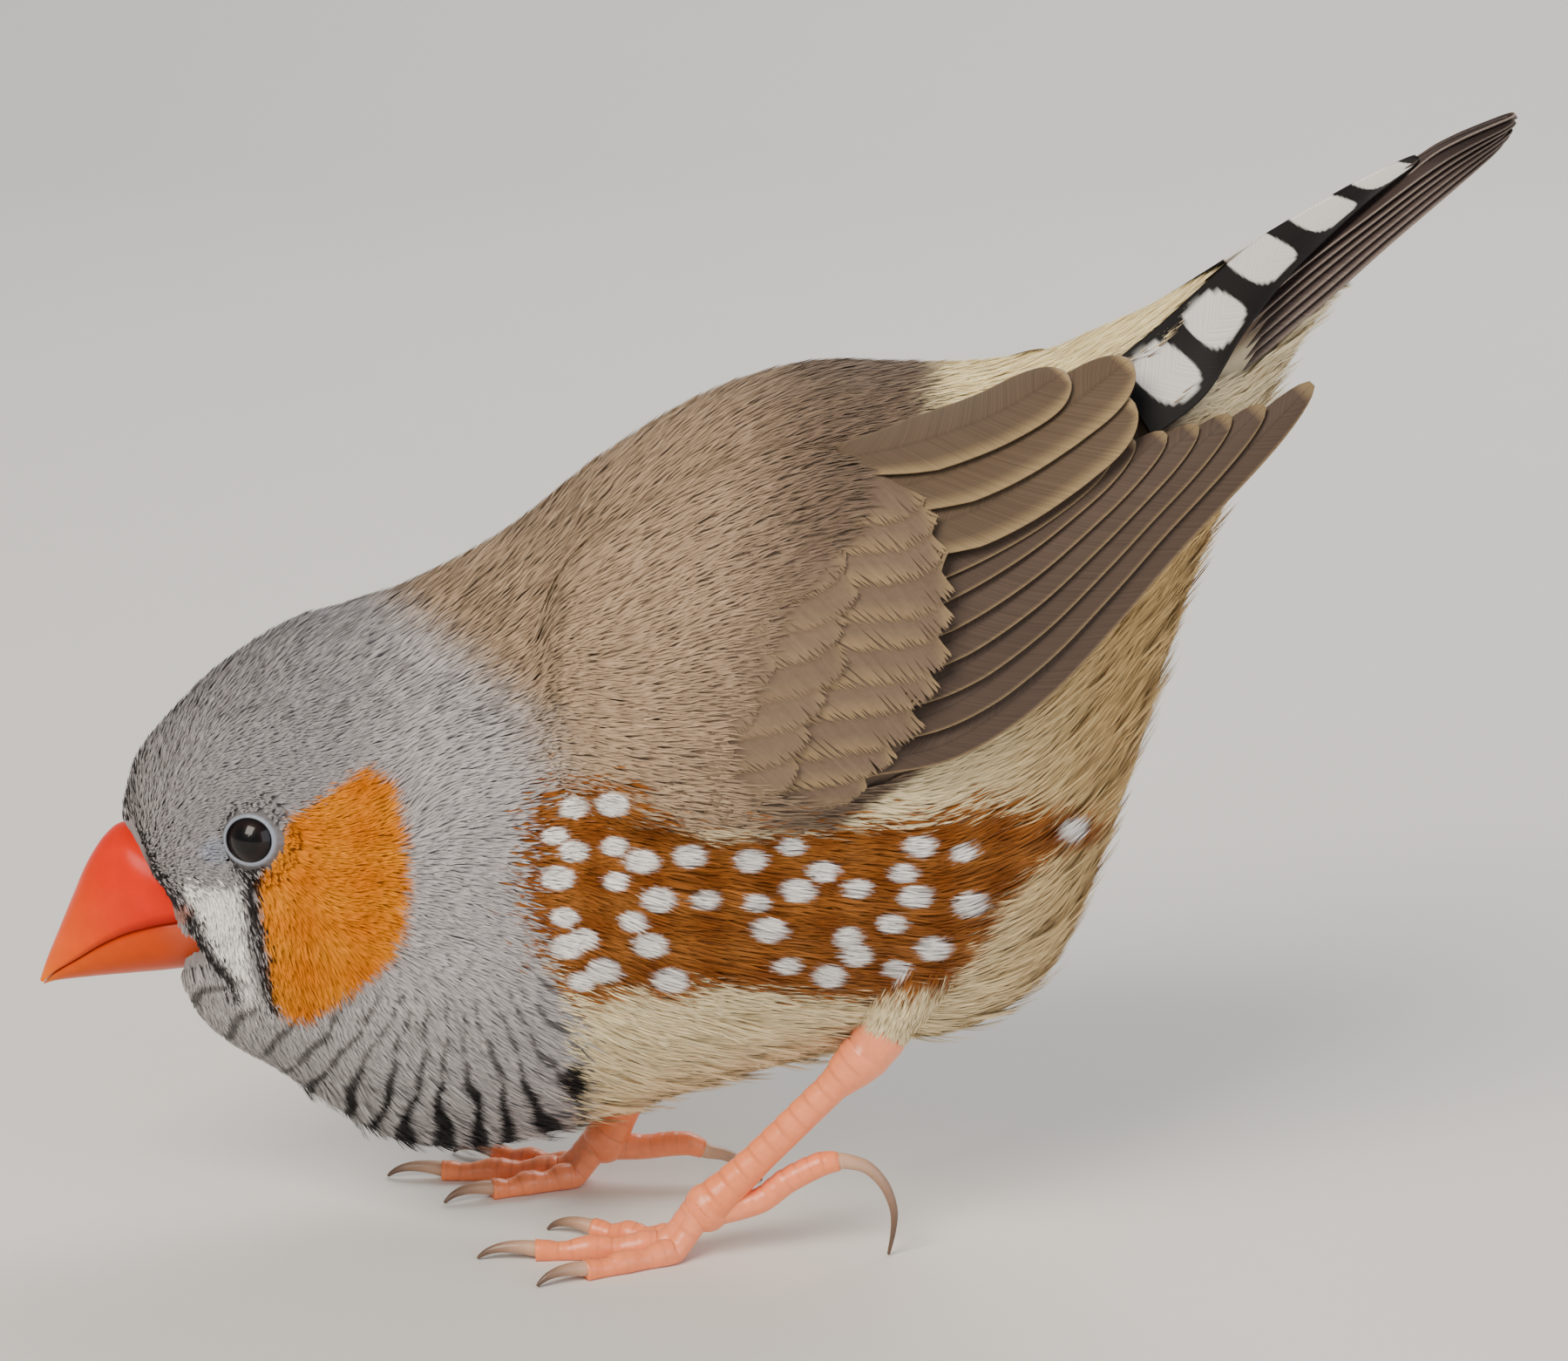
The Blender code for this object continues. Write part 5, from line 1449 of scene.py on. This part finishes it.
def bill_colour(share, up, lower):
    """Red that turns to orange along the bill, with painted shade along the mouth line."""
    red, orange, pink, end_colour = (
        chosen("finch_bill", part) for part in ("root", "middle", "flesh", "tip")
    )
    colour = blend(red, orange, smooth((share - 0.25) / 0.7))
    if lower:
        # the lower bill turns to a darker orange: partly its own hue, partly painted shade on the
        # half that faces down
        colour = blend(colour, orange * 0.66, 0.7)
        colour = blend(colour, pink, (1 - smooth((share - 0.12) / 0.2)) * (1 - up) * 0.5)
    colour = blend(colour, end_colour, smooth((share - 0.8) / 0.2) * 0.6)
    # painted shade along the mouth line, where the two halves meet
    return blend(colour, red * 0.5, (1 - smooth(up / 0.12)) * 0.5)


# ---------------------------------------------------------------------- bill
# The bill from its root to its tip: the upper outline, the line of the mouth and the lower
# outline as x and z, and half its width
CULMEN = ((-39.8, 26.2), (-42.3, 26.7), (-43.6, 26.0), (-44.9, 24.1), (-45.9, 21.9),
          (-46.9, 19.6), (-47.8, 17.5), (-48.3, 16.1))
MOUTH = ((-35.8, 21.6), (-38.2, 21.3), (-40.1, 20.9), (-42.1, 20.2), (-43.9, 19.2),
         (-45.6, 18.0), (-47.1, 16.9), (-48.05, 15.95))
GONYS = ((-34.4, 18.6), (-37.2, 17.4), (-39.6, 17.0), (-41.9, 16.75), (-43.9, 16.55),
         (-45.6, 16.35), (-46.9, 16.15), (-47.7, 15.98))
BILL_HALF_WIDTHS = (4.2, 4.2, 3.9, 3.35, 2.7, 1.9, 0.95, 0.28)


def bill_material(name):
    """Bill horn: smooth and waxy, with light just under its surface and faint blotches."""
    return mottled(
        name, {"Scale": pattern(1.43), "Detail": 4.0}, {"To Min": 0.86, "To Max": 1.14},
        {"Roughness": 0.3, "Specular IOR Level": 0.16, "Subsurface Weight": 0.06,
         "Subsurface Radius": (0.001, 0.0003, 0.0001), "Subsurface Scale": 0.3}, 0.15,
    )


def make_bill():
    """Both halves of the bill, each from its outline and the line of the mouth."""
    rows, sides = 48, 33
    at, turn = np.linspace(0.0, 7.0, rows), np.linspace(0.0, math.pi, sides)
    half = through(np.asarray(BILL_HALF_WIDTHS)[:, None], at)
    swing = (np.sin(turn) ** 0.9)[None, :, None]
    end = (rows - 1) * sides
    fan = end + np.array([(0, column, column + 1) for column in range(1, sides - 1)])
    for name, node_name, line, share, rise in (
        ("upper_bill", "bill_upper", CULMEN, 1.0, 0.06),
        ("lower_bill", "bill_lower", GONYS, 0.95, -0.06),
    ):
        middle, foot = through(line, at), through(MOUTH, at) + np.array((0.0, rise))
        flat = foot[:, None] + (middle - foot)[:, None] * swing
        out = half * share * np.cos(turn)[None]
        points = np.stack((flat[..., 0], out, flat[..., 1]), -1).reshape(-1, 3)
        quads, closing = grid_quads(rows, sides), grid_quads(rows, 2)
        closing = closing // 2 * sides + closing % 2 * (sides - 1)
        lower = name == "lower_bill"
        quads, closing = (quads, closing[:, ::-1]) if lower else (quads[:, ::-1], closing)
        colour = bill_colour(np.repeat(at / 7.0, sides), np.tile(np.sin(turn), rows), lower)
        made = mesh_object(name, points, [np.concatenate((quads, closing)), fan], colour)
        finish_piece(made, "bill", (node_name,))


def ring_ways(look, count):
    """Directions all round an eye, square to the way it looks, the first along the head."""
    level = unit(np.cross(look, np.array((0.0, 0.0, 1.0))))
    turn = np.arange(count)[:, None] * math.tau / count
    return np.cos(turn) * level + np.sin(turn) * np.cross(level, look)


# ---------------------------------------------------------------------- eyes
def eye_material(name):
    """A wet dark eye: fibres that hardly show under a clear glossy film of tears."""
    # The fibres of the iris are about 0.02 mm wide, too fine to show, so they are drawn 0.333
    return mottled(
        name, {"Scale": pattern(0.333), "Detail": 3.0}, {"To Min": 0.7, "To Max": 1.3},
        {"Roughness": 0.35, "Specular IOR Level": 0.1, "Coat Weight": 0.9,
         "Coat Roughness": 0.015, "Coat IOR": 1.33},
    )


def make_eyes():
    """The eyeballs, each with a cornea that bulges a little, and their lids."""
    centre, look = eye_place()
    rows, columns = 40, 48
    polar = np.linspace(0.0, math.pi, rows)
    radius = EYE_RADIUS + 0.05 * smooth(1 - polar / 0.8)
    off = np.repeat(np.sin(polar) * EYE_RADIUS, columns)
    pupil, iris, rim = (chosen("finch_eyes", part) for part in ("pupil", "iris", "rim"))
    colour = blend(blend(pupil, iris, smooth((off - 0.8) / 0.2)), rim, smooth((off - 1.15) / 0.25))
    for side, name in ((1, "left"), (-1, "right")):
        flip = np.array((1.0, side, 1.0))
        middle, way = centre * flip, look * flip
        points = middle + radius[:, None, None] * (
            np.cos(polar)[:, None, None] * way
            + np.sin(polar)[:, None, None] * ring_ways(way, columns)
        )
        quads = grid_quads(rows, columns, wrap=True)
        made = mesh_object(f"eyeball_{name}", points.reshape(-1, 3), [quads], colour)
        finish_piece(made, "eye", (f"eye_{name}",))
        make_lids(name, middle, way)


# A lid's profile: distance from the eye's axis and height over the eye's centre
LID_PROFILE = (
    (1.42, 1.36), (1.45, 1.41), (1.50, 1.44), (1.57, 1.44), (1.65, 1.40), (1.74, 1.32),
    (1.86, 1.20), (2.0, 1.05), (2.25, 0.85), (2.6, 0.55),
)


def make_lids(name, middle, way):
    """The bare rim round an eye: thin wrinkled lids with a dark edge against the eye."""
    rows, columns = 28, 96
    around = np.arange(columns) * math.tau / columns
    off, high = resampled(LID_PROFILE, rows).T[..., None]
    reach = off * (1 + 0.05 * np.cos(2 * around))
    wrinkle = 0.03 * np.sin(around * 23) * np.sin(off * 9)
    height = high + wrinkle * smooth((off - 1.5) / 0.2)
    points = middle + way * height[..., None] + ring_ways(way, columns) * reach[..., None]
    ring = np.repeat(off[:, 0], columns)
    colour = blend(
        chosen("finch_eyes", "lid_edge"), hue("eye_skin") * 0.8, smooth((ring - 1.45) / 0.1)
    )
    # the lid's outer part takes the coat's grey, drawn darker as painted shade where it goes under
    # the tufts
    colour = blend(colour, hue("grey") * 0.5, smooth((ring - 1.66) / 0.14))
    quads = grid_quads(rows, columns, wrap=True)
    made = mesh_object(f"eyelids_{name}", points.reshape(-1, 3), [quads], colour)
    finish_piece(made, "skin")


def tube_rings(points, radii, sides, scutes, floor):
    """Rings of a tube through points, and how bright the scales on it are, with painted shade in
    the grooves between them.
    """
    steps = np.linalg.norm(np.diff(points, axis=0), axis=1)
    lengths = np.concatenate(([0.0], np.cumsum(steps)))
    ahead = unit(np.gradient(points, axis=0))
    side = np.cross(ahead[0], (0.0, 0.0, 1.0))
    if np.linalg.norm(side) < 0.1:
        side = np.cross(ahead[0], (0.0, 1.0, 0.0))
    turn = (np.arange(sides) + 0.5) * math.tau / sides
    rings, shades = [], []
    for point, radius, length, way in zip(points, radii, lengths, ahead):
        side = unit(side - way * (side @ way))
        up = np.cross(side, way)
        step, shade = np.zeros(sides), np.ones(sides)
        if scutes:
            phase = (length / scutes) % 1.0
            groove = np.exp(-((min(phase, 1 - phase) / 0.08) ** 2))
            groove = groove * np.clip(np.sin(turn) + 0.7, 0.0, 1.0)
            step = (phase - 0.5) * 0.06 * np.clip(np.sin(turn) + 0.5, 0.0, 1.0) - 0.03 * groove
            # painted shade in the groove between two scales
            shade = 1 - 0.2 * groove
        reach = (radius + step * radius)[:, None]
        rings.append(point + (np.cos(turn)[:, None] * side + np.sin(turn)[:, None] * up) * reach)
        shades.append(shade)
    rings = np.array(rings)
    if floor:
        rings[..., 2] = np.maximum(rings[..., 2], 0.0)
    return rings, np.concatenate(shades)


# ---------------------------------------------------------------------- legs
def skin_material(name, roughness):
    """Bare skin, leg scales and claws: slightly waxy, with light that goes in and comes out."""
    return mottled(
        name, {"Scale": pattern(0.556), "Detail": 4.0}, {"To Min": 0.85, "To Max": 1.15},
        {"Roughness": roughness, "Specular IOR Level": 0.45, "Subsurface Weight": 0.15,
         "Subsurface Radius": (0.0015, 0.0006, 0.0004), "Subsurface Scale": 0.4}, 0.3,
    )


# Joints of the legs, and the hind toe and its claw as distance behind the knuckle and height
LEFT_LEG = {
    "hip": (8.6, -8.0, 21.5),
    "ankle": (6.0, -8.0, 14.9),
    "knuckle": (-4.9, -7.5, 3.3),
    "hind_toe": ((0.6, 3.1), (3.3, 3.75), (5.1, 5.1), (7.2, 6.2), (8.4, 6.4)),
    "hind_claw": ((8.9, 6.4), (10.2, 6.0), (11.3, 4.8), (11.9, 3.2), (11.9, 1.7), (11.6, 0.1)),
}
RIGHT_LEG = {
    "hip": (-1.8, 9.8, 20.8),
    "ankle": (-4.9, 6.6, 15.2),
    "knuckle": (-12.0, 5.6, 3.0),
    "hind_toe": ((0.6, 2.6), (2.6, 2.5), (4.3, 2.7), (5.6, 2.7), (6.6, 2.3)),
    "hind_claw": ((7.0, 2.15), (8.0, 1.95), (9.1, 1.4), (9.9, 0.75), (10.3, 0.3), (10.5, 0.1)),
}
# The shank's radii at shares of its length
SHANK_SHARES = (0.0, 0.05, 0.13, 0.25, 0.7, 0.86, 1.0)
SHANK_RADII = (1.2, 1.65, 1.5, 1.05, 1.05, 1.2, 1.5)
# Front toes: degrees outwards, length, and radius at the root and at the claw
TOES = (
    ("inner", -22.0, 7.6, 0.95, 0.68),
    ("middle", 3.0, 10.6, 1.0, 0.66),
    ("outer", 27.0, 8.2, 0.9, 0.64),
)
# Lengths of the claws, and the hind toe's radii from its root to its claw
CLAW_LENGTHS = {"inner": 2.9, "middle": 3.3, "outer": 2.9}
HIND_TOE_RADII = (1.0, 0.85, 0.85, 0.8, 0.62)


def leg_colour(share):
    """Pink at the top of a leg or a toe, more orange towards its end."""
    return blend(chosen("finch_legs", "pink"), chosen("finch_legs", "orange"), 0.4 * share)


def claw_colour(share):
    """Pale horn that darkens to its tip."""
    horn, tip = chosen("finch_legs", "horn"), chosen("finch_legs", "horn_tip")
    return blend(horn, tip, smooth(share / 0.9))


def tube_object(name, line, sides, colour_at, scutes=0.0, floor=False):
    """A closed tube. line holds its points and radii, and scutes is how far apart the scales on
    its upper side stand."""
    rings, shade = tube_rings(line[:, :3], line[:, 3], sides, scutes, floor)
    count, ring = len(rings), np.arange(sides)
    after, last, hub = (ring + 1) % sides, (count - 1) * sides, np.full(sides, count * sides)
    caps = np.stack((ring, after, hub, last + after, last + ring, hub + 1), -1).reshape(-1, 3)
    colour = colour_at(np.repeat(np.linspace(0, 1, count), sides)) * shade[:, None]
    colour = np.concatenate((colour, colour[[0, -1]]))
    points = np.concatenate((rings.reshape(-1, 3), (rings[0].mean(0), rings[-1].mean(0))))
    return mesh_object(name, points, [grid_quads(count, sides, wrap=True)[:, ::-1], caps], colour)


def resampled(table, rows):
    """A table's rows on a smooth curve through them, evenly spaced."""
    return through(table, np.linspace(0, len(table) - 1, rows))


def make_leg(leg, side):
    """A leg from the shank to the claws."""
    make_shank(leg, side)
    knuckle = np.array(leg["knuckle"])
    for toe in TOES:
        make_toe(knuckle, side, *toe)
    back = resampled(np.column_stack((hind_line(leg, leg["hind_toe"]), HIND_TOE_RADII)), 60)
    turn = np.linspace(0.0, math.pi, 24)
    ball = np.column_stack((knuckle + np.outer(1.6 * np.cos(turn), (0.0, 0.0, 1.0)),
                            1.5 * np.sin(turn) + 0.01))
    scutes = chosen("finch_legs", "toe_scutes")
    finish_piece(tube_object(f"toe_{side}_hind", back, 20, leg_colour, scutes), "skin")
    finish_piece(tube_object(f"knuckle_{side}", ball, 24, leg_colour), "skin")
    claw = leg["hind_toe"][-1:] + leg["hind_claw"]
    make_claw(f"{side}_hind", resampled(hind_line(leg, claw), 24))


# ---------------------------------------------------------------------- stage
# Lamps: place and size in metres, and colour. The stage's settings hold their power.
LAMPS = (
    ("key", (-0.35, -0.55, 0.62), 0.45, "#fff4e6"),
    ("fill", (0.6, -0.6, 0.3), 0.7, "#eef3ff"),
    ("rim", (0.25, 0.5, 0.6), 0.5, "#ffffff"),
    ("sparkle", (-0.3, -0.55, 0.3), 0.035, "#ffffff"),
)
# The backdrop in metres: how far it reaches to the sides and the front, where it bends, how
# widely, and how high it goes
FLOOR_REACH, BEND_AT, BEND_RADIUS, BACKDROP_TOP = 3.0, 0.55, 0.35, 2.0
# The light that comes from all sides
WORLD_COLOUR = (0.8, 0.84, 0.9, 1.0)
# How near and how far the camera sees, in metres
CLIP_START, CLIP_END = 0.01, 10.0


def paper_material(name):
    """Matt paper: even and without gloss, with a cloudiness that the eye hardly sees."""
    made, tree = new_material(name)
    place = add_node(tree, "ShaderNodeTexCoord")
    clouds = {"Vector": place.outputs["Object"], "Scale": pattern(25.0)}
    cloudy = add_node(tree, "ShaderNodeTexNoise", clouds).outputs["Fac"]
    colour = chosen("finch_stage", "floor")
    shades = {"Factor": cloudy, 6: (*(colour * 0.98), 1.0), 7: (*colour, 1.0)}
    mixed = add_node(tree, "ShaderNodeMix", shades, data_type="RGBA")
    surface_output(tree, {"Base Color": mixed.outputs[2], "Roughness": 0.9})
    return made


def make_floor():
    """A pale floor that curves up into a backdrop."""
    bend = [
        (BEND_AT + BEND_RADIUS * math.sin(turn), BEND_RADIUS * (1 - math.cos(turn)))
        for turn in np.linspace(0.0, math.pi / 2, 17)
    ]
    profile = [(-FLOOR_REACH, 0.0), *bend, (BEND_AT + BEND_RADIUS, BACKDROP_TOP)]
    points = [(x, y, z) for y, z in profile for x in (-FLOOR_REACH, FLOOR_REACH)]
    quads = [(at, at + 1, at + 3, at + 2) for at in range(0, len(points) - 2, 2)]
    mesh = bpy.data.meshes.new("backdrop")
    mesh.from_pydata(points, [], quads)
    mesh.shade_smooth()
    mesh.materials.append(paper_material("pale paper"))
    floor = bpy.data.objects.new("backdrop", mesh)
    bpy.context.scene.collection.objects.link(floor)


def placed(made, place, look):
    """Puts a lamp or the camera at a place, turned to look a way."""
    made.location = place
    made.rotation_mode = "QUATERNION"
    made.rotation_quaternion = look.to_track_quat("-Z", "Y")
    bpy.context.scene.collection.objects.link(made)


def make_lamps():
    """Soft lamps round the bird and an even light from all sides."""
    for name, place, size, code in LAMPS:
        data = bpy.data.lights.new(name, "AREA")
        data.shape, data.size = "SQUARE", size
        data.energy = chosen("finch_stage", name)
        data.color = linear(code)
        lamp = bpy.data.objects.new(name, data)
        placed(lamp, place, Vector((0.0, 0.0, TARGET_HEIGHT * MM)) - Vector(place))
    world = bpy.data.worlds.new("studio")
    world.use_nodes = True
    light = world.node_tree.nodes["Background"].inputs
    light["Color"].default_value = WORLD_COLOUR
    light["Strength"].default_value = chosen("finch_stage", "world")
    bpy.context.scene.world = world


def make_camera():
    """The camera at the angle that the photo was taken from."""
    data = bpy.data.cameras.new("camera")
    data.sensor_width, data.lens = SENSOR_WIDTH, LENS
    data.clip_start, data.clip_end = CLIP_START, CLIP_END
    camera = bpy.data.objects.new("camera", data)
    target = Vector((SHIFT[0] * MM, 0.0, TARGET_HEIGHT * MM))
    back = Vector((0.0, -math.cos(VIEW_RISE), math.sin(VIEW_RISE)))
    placed(camera, target + back * VIEW_DISTANCE * MM, -back)
    bpy.context.scene.camera = camera


def make_claw(name, line):
    """A claw of pale horn, thinner to its tip."""
    radii = 0.56 - 0.46 * np.linspace(0.0, 1.0, len(line)) ** 1.1
    claw = np.column_stack((line, radii))
    made = tube_object(f"claw_horn_{name}", claw, 14, claw_colour, floor=True)
    finish_piece(made, "horn", (f"claw_{name}",))


def make_shank(leg, side):
    """The scaly lower leg, from inside the thigh's feathers down to the knuckle."""
    hip, ankle, knuckle = (np.array(leg[part]) for part in ("hip", "ankle", "knuckle"))
    start = ankle + unit(ankle - hip) * 0.5
    shares = np.linspace(0.0, 1.0, 90)[4:, None]
    radii = np.interp(shares, SHANK_SHARES, SHANK_RADII)
    lower = np.hstack((start + (knuckle - start) * shares, radii))
    inner = hip + (ankle - hip) * np.linspace(0.8, 0.99, 5)[:, None]
    upper = np.column_stack((inner, np.linspace(1.6, 1.75, 5)))
    line = resampled(np.concatenate((upper, lower)), 110)
    scutes = chosen("finch_legs", "scutes")
    made = tube_object(f"shank_skin_{side}", line, 24, leg_colour, scutes)
    finish_piece(made, "skin", (f"shank_{side}",))


def make_toe(knuckle, side, name, heading, length, root_radius, end_radius):
    """A front toe that comes down from the knuckle and lies on the floor, and its claw."""
    turn = math.radians(heading)
    outward = -1.0 if side == "left" else 1.0
    ahead = np.array((-math.cos(turn), outward * math.sin(turn), 0.0))
    share = np.linspace(0.0, 1.0, 60)
    swell = 1.0 + 0.1 * np.cos(share * 3 * math.tau)
    radius = (root_radius + (end_radius - root_radius) * share) * swell
    rest = radius * math.cos(math.pi / 8) - 0.1
    points = knuckle + ahead * (0.4 + length * share)[:, None]
    points[:, 2] = rest + (knuckle[2] - rest) * np.maximum(1 - share / 0.26, 0.0) ** 1.3
    made = tube_object(f"toe_{side}_{name}", np.column_stack((points, radius)), 20, leg_colour,
                       chosen("finch_legs", "toe_scutes"), True)
    # the inner toe takes the place of the whole foot, and the others stand beside it
    finish_piece(made, "skin", (f"foot_{side}",) if name == "inner" else ())
    end, long = points[-1], CLAW_LENGTHS[name]
    part = np.linspace(0.0, 1.0, 14)[:, None]
    out = long * np.sin(part * 1.25) / math.sin(1.25)
    line = end - ahead * 0.7 + ahead * out * (long + 1.1) / long
    line[:, 2:] = end[2] - (end[2] - 0.12) * part**1.8 + 0.4 * np.sin(math.pi * part)
    make_claw(f"{side}_{name}", line)


def hind_line(leg, spots):
    """Points behind the knuckle, from how far back and how high they lie."""
    return np.array([(leg["knuckle"][0] + x, leg["knuckle"][1], z) for x, z in spots])


# ---------------------------------------------------------------------- add-on
SHIFT = row_shift()
# Materials that have been made, and how each is made: its function, name and settings
MATERIALS = {}
MATERIAL_MAKERS = {
    "plumage": (plumage_material, "barbed body feather"),
    "vane": (vane_material, "webbed flight feather"),
    "bill": (bill_material, "waxy bill horn"),
    "eye": (eye_material, "wet dark eye"),
    "skin": (skin_material, "scaly leg skin", 0.3),
    "horn": (skin_material, "smooth claw horn", 0.35),
}


class FINCH_OT_skin(bpy.types.Operator):
    """Makes the skin under the coat."""

    bl_idname = "finch.skin"
    bl_label = "Skin"

    def execute(self, context):
        make_skin()
        return {"FINISHED"}


class FINCH_OT_coat(bpy.types.Operator):
    """Makes the coat of tufts over the skin."""

    bl_idname = "finch.coat"
    bl_label = "Coat"

    def execute(self, context):
        make_coat()
        return {"FINISHED"}


class FINCH_OT_thighs(bpy.types.Operator):
    """Makes the feathered thighs over the legs."""

    bl_idname = "finch.thighs"
    bl_label = "Thighs"

    def execute(self, context):
        make_thigh(LEFT_LEG, "left")
        make_thigh(RIGHT_LEG, "right")
        return {"FINISHED"}


class FINCH_OT_wings(bpy.types.Operator):
    """Makes both wings: the arm, the small feathers and the long ones."""

    bl_idname = "finch.wings"
    bl_label = "Wings"

    def execute(self, context):
        make_wings()
        return {"FINISHED"}


class FINCH_OT_tail(bpy.types.Operator):
    """Makes the tail feathers."""

    bl_idname = "finch.tail"
    bl_label = "Tail"

    def execute(self, context):
        make_tail()
        return {"FINISHED"}


class FINCH_OT_tail_coverts(bpy.types.Operator):
    """Makes the barred feathers over the tail."""

    bl_idname = "finch.tail_coverts"
    bl_label = "Barred feathers"

    def execute(self, context):
        make_tail_coverts()
        return {"FINISHED"}


class FINCH_OT_bill(bpy.types.Operator):
    """Makes the upper and the lower bill."""

    bl_idname = "finch.bill"
    bl_label = "Bill"

    def execute(self, context):
        make_bill()
        return {"FINISHED"}


class FINCH_OT_eyes(bpy.types.Operator):
    """Makes the eyes and their lids."""

    bl_idname = "finch.eyes"
    bl_label = "Eyes"

    def execute(self, context):
        make_eyes()
        return {"FINISHED"}


class FINCH_OT_legs(bpy.types.Operator):
    """Makes the legs, the toes and the claws."""

    bl_idname = "finch.legs"
    bl_label = "Legs"

    def execute(self, context):
        make_leg(LEFT_LEG, "left")
        make_leg(RIGHT_LEG, "right")
        return {"FINISHED"}


class FINCH_OT_stage(bpy.types.Operator):
    """Makes the floor, the lamps and the camera."""

    bl_idname = "finch.stage"
    bl_label = "Stage"

    def execute(self, context):
        make_floor()
        make_lamps()
        make_camera()
        return {"FINISHED"}


GROUPS = (
    ("finch_plumage", "Plumage", FinchPlumage),
    ("finch_coat", "Coat", FinchCoat),
    ("finch_wings", "Wings", FinchWings),
    ("finch_tail", "Tail", FinchTail),
    ("finch_bill", "Bill", FinchBill),
    ("finch_eyes", "Eyes", FinchEyes),
    ("finch_legs", "Legs", FinchLegs),
    ("finch_stage", "Stage", FinchStage),
)
OPERATORS = (
    FINCH_OT_skin, FINCH_OT_coat, FINCH_OT_thighs, FINCH_OT_wings, FINCH_OT_tail,
    FINCH_OT_tail_coverts, FINCH_OT_bill, FINCH_OT_eyes, FINCH_OT_legs, FINCH_OT_stage,
)


class FINCH_PT_panel(bpy.types.Panel):
    """Lists what a user may change and what can be made."""

    bl_idname = "FINCH_PT_panel"
    bl_label = "Zebra finch"
    bl_space_type = "VIEW_3D"
    bl_region_type = "UI"
    bl_category = "Finch"

    def draw(self, context):
        for attribute, title, group in GROUPS:
            box = self.layout.box()
            box.label(text=title)
            for name in group.__annotations__:
                box.prop(getattr(context.scene, attribute), name)
        for operator in OPERATORS:
            self.layout.operator(operator.bl_idname)


def register():
    """Makes the settings, the operators and the panel known."""
    for attribute, _, group in GROUPS:
        bpy.utils.register_class(group)
        setattr(bpy.types.Scene, attribute, bpy.props.PointerProperty(type=group))
    for kind in (*OPERATORS, FINCH_PT_panel):
        bpy.utils.register_class(kind)


def unregister():
    """Takes the panel, the operators and the settings away."""
    for kind in (FINCH_PT_panel, *reversed(OPERATORS)):
        bpy.utils.unregister_class(kind)
    for attribute, _, group in reversed(GROUPS):
        delattr(bpy.types.Scene, attribute)
        bpy.utils.unregister_class(group)


def main():
    """Makes every piece and the stage."""
    register()
    bpy.ops.finch.skin()
    bpy.ops.finch.coat()
    bpy.ops.finch.thighs()
    bpy.ops.finch.wings()
    bpy.ops.finch.tail()
    bpy.ops.finch.tail_coverts()
    bpy.ops.finch.bill()
    bpy.ops.finch.eyes()
    bpy.ops.finch.legs()
    bpy.ops.finch.stage()


if __name__ == "__main__":
    main()
